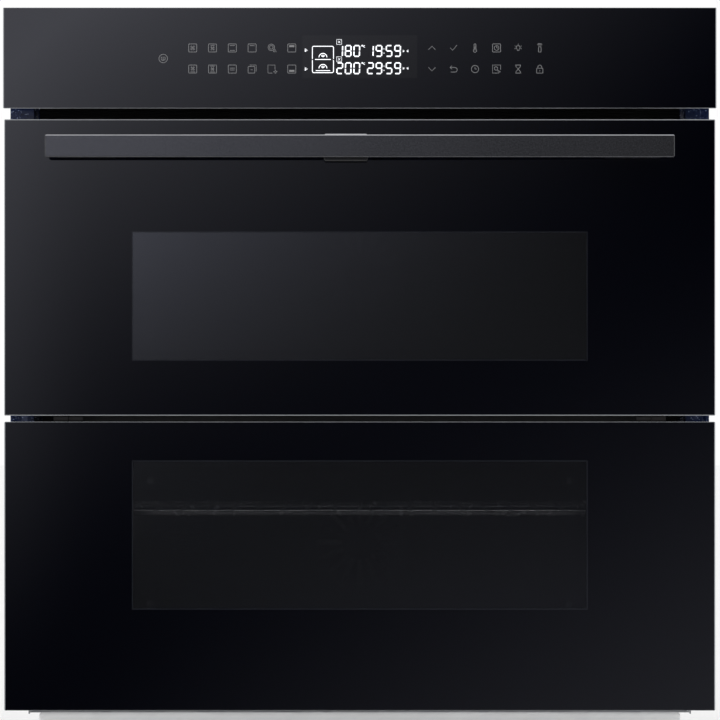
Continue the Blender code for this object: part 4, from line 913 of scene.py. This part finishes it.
def placeLines(lines, x, z, unit):
    return [[(x + px * unit, glassFront, z + pz * unit) for px, pz in line] for line in lines]


def printPiece(name, lines, width, finish):
    curve = lineCurve(name + "Lines", lines)
    growPiece(name, curve, printTree, finish, {"Line width": width}, "oven", 0)


def makeSymbols():
    unit, middle = symbols["unit"], panelMiddle - symbols["drop"]
    up, down = middle + symbols["rowRise"], middle - symbols["rowRise"]
    lines = placeLines(powerKey, symbols["powerAt"], middle, unit)
    lines += placeLines(arrowUp, symbols["arrowsAt"], up, unit) + placeLines(arrowDown, symbols["arrowsAt"], down, unit)
    for side, top, bottom in (("left", leftTop, leftBottom), ("right", rightTop, rightBottom)):
        for i, (upper, lower) in enumerate(zip(top, bottom)):
            x = symbols[side + "First"] + symbols[side + "Pitch"] * i
            lines += placeLines(upper, x, up, unit) + placeLines(lower, x, down, unit)
    printPiece("touchSymbols", lines, symbols["lineWidth"], "printedGrey")


# lit display: digits in metres, the rest in millimetres around the place that is named
display = {
    "rows": (0.0058, -0.0086), "temperatures": ("180", "200"), "times": ("1959", "2959"),
    "temperatureEnd": -0.0025, "timeEnd": 0.0315, "digitWidth": 0.0046, "digitHeight": 0.0089, "digitPitch": 0.00710,
    "stroke": 0.00102, "slant": 0.03, "strokeGap": 0.45, "colonGap": 0.0013, "colonRise": 0.0018, "colonDot": 0.22,
    "zoneAt": (-0.0307, -0.0013), "zoneHalf": 8.8, "zoneTall": 11.0, "zoneGap": 0.5, "zoneCorner": 1.2,
    "shelfLines": ((6.6, 0), (6.0, -9.3)), "domes": (1.8, -7.4), "domeRadius": 3.3, "rayLift": 0.4, "ray": 1.9,
    "lineWidth": 0.00060, "markWidth": 0.00042, "fanWidth": 0.00024,
    "degreeAt": (0.0046, 0.0044), "scaleAt": (0.0064, 0.0038), "endMarkAt": 0.0046, "pointerAt": -0.0446,
    "pointerRise": (0.0007, -0.0006), "fanAt": (-0.0172, 0.0075),
}
segmentsOf = {"0": "abcdef", "1": "bc", "2": "abged", "5": "afgcd", "8": "abcdefg", "9": "abcfgd"}
millimetre = 0.001


def digitLines(digit, x, z):
    w, h = display["digitWidth"] / 2, display["digitHeight"] / 2
    ends = {"a": ((-w, h), (w, h)), "g": ((-w, 0), (w, 0)), "d": ((-w, -h), (w, -h)), "f": ((-w, 0), (-w, h)),
            "b": ((w, 0), (w, h)), "e": ((-w, -h), (-w, 0)), "c": ((w, -h), (w, 0))}
    lines = []
    for key in segmentsOf[digit]:
        start, end = Vector(ends[key][0]), Vector(ends[key][1])
        along = (end - start).normalized() * display["stroke"] * display["strokeGap"]
        lines.append([(x + p.x + p.y * display["slant"], glassFront, z + p.y) for p in (start + along, end - along)])
    return lines


def makeDigits():
    lines, pitch = [], display["digitPitch"]
    for row, rise in enumerate(display["rows"]):
        for i, digit in enumerate(reversed(display["temperatures"][row])):
            lines += digitLines(digit, display["temperatureEnd"] - pitch * i, panelMiddle + rise)
        for i, digit in enumerate(reversed(display["times"][row])):
            shift = pitch * i + (display["colonGap"] if i > 1 else 0.0)   # the colon parts hours and minutes
            lines += digitLines(digit, display["timeEnd"] - shift, panelMiddle + rise)
    printPiece("displayDigits", lines, display["stroke"], "glowingWhite")


def makeZones():
    x, rise = display["zoneAt"]
    wide, tall, gap, corner = (display["zone" + word] for word in ("Half", "Tall", "Gap", "Corner"))
    lines = []
    for sign in (1, -1):
        left = ring(-wide + corner, sign * (tall - corner), corner, 180, 180 - sign * 90, 4)
        right = ring(wide - corner, sign * (tall - corner), corner, sign * 90, 0, 4)
        lines.append([(-wide, sign * gap), (-wide, sign * (tall - corner))] + left + right + [(wide, sign * gap)])
    lines += [bar(-half, half, y) for half, y in display["shelfLines"]]
    for low in display["domes"]:
        lines.append(ring(0, low, display["domeRadius"], 0, 180, 12))
        root = low + display["rayLift"]
        lines += [[(0, root), polar(0, root, display["ray"], turn)] for turn in (35, 90, 145)]
    lines = placeLines(lines, x, panelMiddle + rise, millimetre)
    printPiece("displayZones", lines, display["lineWidth"], "glowingWhite")


def makeMarks():
    small, fans = [], []
    colonX = display["timeEnd"] - display["digitPitch"] * 1.5 - display["colonGap"] / 2
    colonDot = [ring(0, 0, display["colonDot"], 0, 360, 6)]
    endMark = [[(0, -0.9), (1.2, 0), (0, 0.9), (0, -0.9)], [(4.2, -0.9), (3.0, 0), (4.2, 0.9), (4.2, -0.9)]]
    pointer = [[(-1.0, -1.3), (1.0, 0), (-1.0, 1.3), (-1.0, -1.3)], [(-0.6, -0.5), (-0.6, 0.5)]]
    fan = [square(-2.1, -2.1, 2.1, 2.1, 0.4), [(-1.0, -1.0), (1.0, 1.0)], [(-1.0, 1.0), (1.0, -1.0)]]
    for rise, pointerRise in zip(display["rows"], display["pointerRise"]):
        z = panelMiddle + rise
        for mark, (right, up) in (([ring(0, 0, 0.55, 0, 360, 8)], display["degreeAt"]),
                                  ([ring(0, 0, 0.75, 60, 300, 8)], display["scaleAt"])):
            small += placeLines(mark, display["temperatureEnd"] + right, z + up, millimetre)
        for sign in (-1, 1):
            small += placeLines(colonDot, colonX, z + sign * display["colonRise"], millimetre)
        small += placeLines(endMark, display["timeEnd"] + display["endMarkAt"], z, millimetre)
        small += placeLines(pointer, display["pointerAt"], z + pointerRise, millimetre)
        fans += placeLines(fan, display["fanAt"][0], z + display["fanAt"][1], millimetre)
    printPiece("displayMarks", small, display["markWidth"], "glowingWhite")
    printPiece("displayFans", fans, display["fanWidth"], "glowingWhite")


makeSymbols()
makeDigits()
makeZones()
makeMarks()
print("control symbols made")

# pieces that get a smooth or bevelled skin, with the angle up to which they shade smooth
smoothSkins = {
    "control_glass": 0, "upper_glass": 0, "lower_glass": 0, "fan_motor_upper": 35, "fan_motor_lower": 35,
    "cooling_fan_motor": 35, "fan_wheel_upper": 35, "fan_wheel_lower": 35, "cooling_fan_wheel": 35,
    "cooling_fan_housing": 30, "grill_heater": 75, "bottom_heater": 75, "ring_heater_upper": 75,
    "ring_heater_lower": 75, "lamp_upper": 30, "lamp_lower": 30, "hinge_leaf_left": 30, "hinge_leaf_right": 30,
    "hinge_socket_left": 30, "hinge_socket_right": 30, "flex_hinge_left": 35, "flex_hinge_right": 35,
    "flex_leaf_left": 35, "flex_leaf_right": 35, "release_lever": 0, "handle_bar": 0, "handle_post_left": 40,
    "handle_post_right": 40, "door_gasket": 50, "upper_door_tray": 30, "lower_door_tray": 30, "divider": 40,
    "front_frame": 30, "terminal_cover": 40,
}
edgeWidths = {"handle_bar": 0.0010, "release_lever": 0.0007, "control_glass": 0.0005, "upper_glass": 0.0005,
              "lower_glass": 0.0005}
skin = {"mergeWithin": 0.00001, "sharpFrom": 40, "flatGlass": 0.99, "cutFacing": 0.2}


def bevelEdges(bm, width, steps):
    bmesh.ops.dissolve_limit(bm, angle_limit=math.radians(1), verts=bm.verts, edges=bm.edges)
    least = math.radians(skin["sharpFrom"])
    sharp = [edge for edge in bm.edges if len(edge.link_faces) == 2 and edge.calc_face_angle() > least]
    bmesh.ops.bevel(bm, geom=sharp, offset=width, segments=steps, affect="EDGES", clamp_overlap=True)


def makeSkin(node, angle):
    source, isGlass = cadNodes[node], "_glass" in node
    bm = bmesh.new()
    bm.from_mesh(source.data)
    bmesh.ops.remove_doubles(bm, verts=bm.verts, dist=skin["mergeWithin"])
    if node in edgeWidths:
        bevelEdges(bm, edgeWidths[node], 1 if isGlass else 2)
    for face in bm.faces:
        normal = face.normal
        if isGlass:
            face.material_index = 0 if abs(normal.y) > skin["flatGlass"] else 1
        elif node in edgeWidths:   # the faces between front and top get a bright finish as a painted highlight
            face.material_index = 1 if normal.z > skin["cutFacing"] and normal.y < -skin["cutFacing"] else 0
    mesh = meshFrom(bm, node + "Skin")
    mesh.materials.append(finishOf[node])
    if node in edgeWidths:
        mesh.materials.append(finishes["groundEdge" if isGlass else "cutEdge"])
    words = node.split("_")
    name = words[0] + "".join(word.title() for word in words[1:]) + "Skin"
    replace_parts(addPiece(name, mesh, source["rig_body"], angle), node)


for node, angle in smoothSkins.items():
    makeSkin(node, angle)
print("smooth skins made:", len(smoothSkins))

view = {"distance": 5.0, "height": 0.2964, "lens": 299.8, "across": 0.0002}
ground = {
    "size": 30.0, "gap": 0.0003, "shelfHeight": 0.060, "shelfInset": 0.012, "shelfEdge": 0.002,
    "colour": (0.93,) * 3, "roughness": 0.9, "cloud": 3.0, "tone": (0.99, 1.01),
}
# soft card that the polished glass mirrors; each lobe is its centre, its reach and its strength
card = {
    "at": -8.3, "size": 7.0, "base": -1.40, "most": 1.35, "evenFrom": 0.80, "colour": (0.985, 1.0, 1.15, 1.0),
    "lobes": (((-6.37, 6.91), (3.58, 2.89), 2500.0), ((5.78, -3.89), (7.23, 4.51), 4.45),
              ((-0.835, 0.152), (0.174, 0.573), 0.30)),
}
# faint lamps inside: one at each cavity lamp, and a strip under the divider that picks out the rack's rods
lamps = {
    "colour": (0.95, 0.97, 1.0), "power": 0.035, "size": (0.036, 0.026), "clear": 0.003,
    "stripPower": 0.05, "stripSize": (0.38, 0.02), "stripBack": 0.05, "skyStrength": 1.0,
}


def makeCamera():
    camera = intoScene("camera", bpy.data.cameras.new("camera"))
    camera.data.lens = view["lens"]
    camera.location = (view["across"], glassFront - view["distance"], view["height"])
    camera.rotation_euler = (math.pi / 2, 0, 0)
    bpy.context.scene.camera = camera


def makeSquare(name, size, place, upright):
    mesh = bpy.data.meshes.new(name)
    half = size / 2
    corners = [(-half, -half), (half, -half), (half, half), (-half, half)]
    mesh.from_pydata([(x, 0, y) if upright else (x, y, 0) for x, y in corners], [], [(0, 1, 2, 3)])
    thing = intoScene(name, mesh)
    thing.location = place
    return thing


def makeFloor():
    # the oven stands on a low pale shelf, so the open door clears the floor as it does in a cabinet
    gap, height, inset = ground["gap"], ground["shelfHeight"], ground["shelfInset"]
    floor = makeSquare("floor", ground["size"], (0, 0, -gap - height), upright=False)
    low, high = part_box("base_pan")
    bm = bmesh.new()
    addBox(bm, (high.x - low.x - inset, high.y - low.y - inset, height),
           (0, (low.y + high.y + inset) / 2, -gap - height / 2))
    bmesh.ops.bevel(bm, geom=bm.edges[:], offset=ground["shelfEdge"], segments=2, affect="EDGES")
    shelf = intoScene("shelf", meshFrom(bm, "shelf"))
    tree, shader, here = newFinish("paleFloor", ground)
    tone = spread(tree, noiseOf(tree, here, ground["cloud"]), *ground["tone"])
    feed(tree, shader, colour=shaded(tree, ground["colour"], tone))
    for thing in (floor, shelf):
        thing.data.materials.append(finishes["paleFloor"])
        thing.visible_glossy = False


def makeCard():
    thing = makeSquare("softLightCard", card["size"], (0, card["at"], view["height"]), upright=True)
    material = bpy.data.materials.new("cardLight")
    material.use_nodes = True
    tree = material.node_tree
    tree.nodes.clear()
    axes = axesOf(tree, put(tree, "ShaderNodeTexCoord").outputs["Object"])
    rise = calc(tree, "MINIMUM", axes["Z"], card["evenFrom"])
    here = put(tree, "ShaderNodeCombineXYZ", {"X": axes["X"], "Z": rise}).outputs[0]
    glow = card["base"]
    for (x, z), (wide, tall), strength in card["lobes"]:
        apart = put(tree, "ShaderNodeVectorMath", {0: here, 1: (x, 0, z)}, operation="SUBTRACT").outputs[0]
        keys = {0: apart, 1: (1 / wide, 0, 1 / tall)}
        scaled = put(tree, "ShaderNodeVectorMath", keys, operation="MULTIPLY").outputs[0]
        power = put(tree, "ShaderNodeVectorMath", {0: scaled, 1: scaled}, operation="DOT_PRODUCT").outputs["Value"]
        fall = calc(tree, "EXPONENT", calc(tree, "MULTIPLY", power, -1.0))
        glow = calc(tree, "ADD", calc(tree, "MULTIPLY", fall, strength), glow)
    glow = calc(tree, "MAXIMUM", calc(tree, "MINIMUM", glow, card["most"]), 0.0)
    emission = put(tree, "ShaderNodeEmission", {"Color": card["colour"], "Strength": glow})
    put(tree, "ShaderNodeOutputMaterial", {"Surface": emission.outputs[0]})
    thing.data.materials.append(material)
    thing.visible_camera = thing.visible_diffuse = thing.visible_shadow = thing.visible_transmission = False


def makeLamp(name, place, turn, size, power):
    lamp = bpy.data.lights.new(name, "AREA")
    lamp.shape, lamp.energy, lamp.color = "RECTANGLE", power, lamps["colour"]
    lamp.size, lamp.size_y = size
    thing = intoScene(name, lamp)
    thing.location, thing.rotation_euler = place, turn


def makeLamps():
    clear = lamps["clear"]
    for node in ("lamp_upper", "lamp_lower"):
        low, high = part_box(node)
        place = (high.x + clear, (low.y + high.y) / 2, (low.z + high.z) / 2)
        makeLamp(node + "Light", place, (0, -math.pi / 2, 0), lamps["size"], lamps["power"])
    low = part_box("divider")[0]
    place = (0, low.y + lamps["stripBack"], low.z - clear)
    makeLamp("rackLight", place, (0, 0, 0), lamps["stripSize"], lamps["stripPower"])


def makeSky():
    world = bpy.data.worlds.new("softStudio")
    world.use_nodes = True
    background = world.node_tree.nodes["Background"]
    background.inputs["Color"].default_value = (1.0, 1.0, 1.0, 1.0)
    background.inputs["Strength"].default_value = lamps["skyStrength"]
    bpy.context.scene.world = world


makeCamera()
makeFloor()
makeCard()
makeLamps()
makeSky()
bpy.context.scene.view_settings.view_transform = "Standard"
print("camera, floor and light made")

print("all pieces made")
